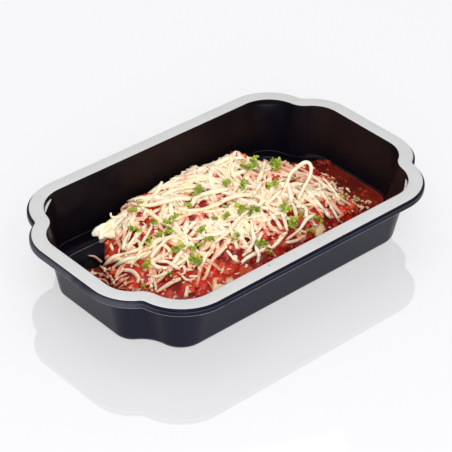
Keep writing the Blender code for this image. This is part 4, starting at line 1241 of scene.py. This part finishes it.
# The sheet's bare corner: a swollen rim along its back edge, a flap hanging from the corner, and a lobe that
# fills the two out. Width and thickness, then x, y, z along the path, in mm.
pastaEdge = dict(
    stations=22, sides=14, twist=0.12, blunt=0.6, wave=0.24 * mm,
    bars=(
        (2.7, 2.3, -59.4, 40.4, 13.9, -59.5, 41.1, 15.2, -57.6, 41.2, 16.5, -54, 41, 17.3, -49.5, 40.6, 18.1,
         -44.4, 40.0, 19.0, -39.4, 40.0, 20.0, -33.8, 40.2, 21.0),
        (3.2, 1.7, -50, 37.4, 18.2, -53.4, 37.6, 17.3, -56, 37.9, 16.5, -57.8, 37.2, 15.4, -58.6, 35.9, 13.9),
        (4.6, 1.6, -57.4, 39.6, 16.1, -51.5, 39.0, 17.5, -45.0, 38.6, 18.8, -37.0, 38.6, 20.6),
    ),
)


def makePastaEdge(material):
    e = pastaEdge
    sets = []
    for width, thickness, *numbers in e["bars"]:
        x, y, z = (part[None] for part in (alongPath(numbers, 3, e["stations"]) * mm).T)
        size = [np.full((1, 1), value * mm) for value in (width, thickness)]
        sets.append((*tubes(x, y, z, *size, e), {}))
    points, polygons = joinSets(sets)[:2]
    x, y, z = points.T
    wave = np.sin(x / (1.3 * mm)) * np.sin(y / (1.1 * mm) + 1) + np.sin(x / (0.7 * mm) + 2)
    points = asRows(x, y, z + e["wave"] * wave)
    makePiece("pastaEdge", points, polygons, material)


# A clot of sauce against the wall at the pool's back end: u, v, height and radius in mm.
smear = dict(
    rings=12, spokes=20, flat=0.6, rough=0.18,
    lumps=((323.5, 163.2, 7.4, 2.2), (327.5, 162, 7.8, 1.9), (320, 162.3, 7.2, 1.8), (329.2, 164, 7.2, 1.4),
           (325.5, 160.5, 8.8, 1.0)),
)


def makeSmear(material):
    u, v, height, radius = np.array(smear["lumps"], float).T
    z = height * mm
    x, y = throughPixel(u, v, z)
    points, polygons = lumpMeshes(x, y, z, radius * mm, smear)
    makePiece("sauceSmear", points, polygons, material,
              dict(shore=np.zeros(len(points)), bits=np.full(len(points), 0.5)))


# Studio: pale floor, soft light all round, and two large soft lights: name, place, size in m and power in W.
studio = dict(
    floor=(0.27, 0.27, 0.28), floorRough=0.03, floorGlow=0.53, floorIndex=2.5, floorSize=6.0,
    world=(0.98, 0.98, 1.0), worldStrength=0.72,
    lights=(("frontLight", (-0.48, -0.66, 0.56), 0.85, 8.2), ("topLight", (0.15, 0.35, 1.05), 0.85, 3.4)),
)


def makeStudio():
    world = bpy.data.worlds.new("studio")
    world.use_nodes = True
    background = world.node_tree.nodes["Background"]
    background.inputs["Color"].default_value = (*studio["world"], 1)
    background.inputs["Strength"].default_value = studio["worldStrength"]
    bpy.context.scene.world = world
    half = studio["floorSize"] / 2
    mesh = bpy.data.meshes.new("floor")
    corners = [(-half, -half, 0), (half, -half, 0), (half, half, 0), (-half, half, 0)]
    mesh.from_pydata(corners, [], [(0, 1, 2, 3)])
    mesh.materials.append(Finish("pale floor").paint(
        Base_Color=studio["floor"], Roughness=studio["floorRough"], IOR=studio["floorIndex"],
        Emission_Color=(1.0, 1.0, 1.0), Emission_Strength=studio["floorGlow"],
    ))
    floor = bpy.data.objects.new("floor", mesh)
    bpy.context.scene.collection.objects.link(floor)
    for name, place, size, power in studio["lights"]:
        data = bpy.data.lights.new(name, "AREA")
        data.size, data.energy = size, power
        away = -np.array(place) / np.linalg.norm(place)
        sideways = unit(np.cross(away, (0.0, 0.0, 1.0)))
        setUp(bpy.data.objects.new(name, data), sideways, np.cross(sideways, away), -away, place)


makeCamera()
makeStudio()
print("camera and studio made")
makeTray(trayFinish())
wetSauce = poolFinish()
makePool(wetSauce)
makeSmear(wetSauce)
softPasta = pastaFinish()
makeSheet(softPasta)
makePastaEdge(softPasta)
makeBody(sauceHeapFinish())
pile = startPile()
makeDice(pile, diceFinish())
cheese = cheeseFinish()
makeShreds(pile, cheese)
makeCrumbs(pile, cheese)
makeParsley(pile, parsleyFinish())
print("food made")
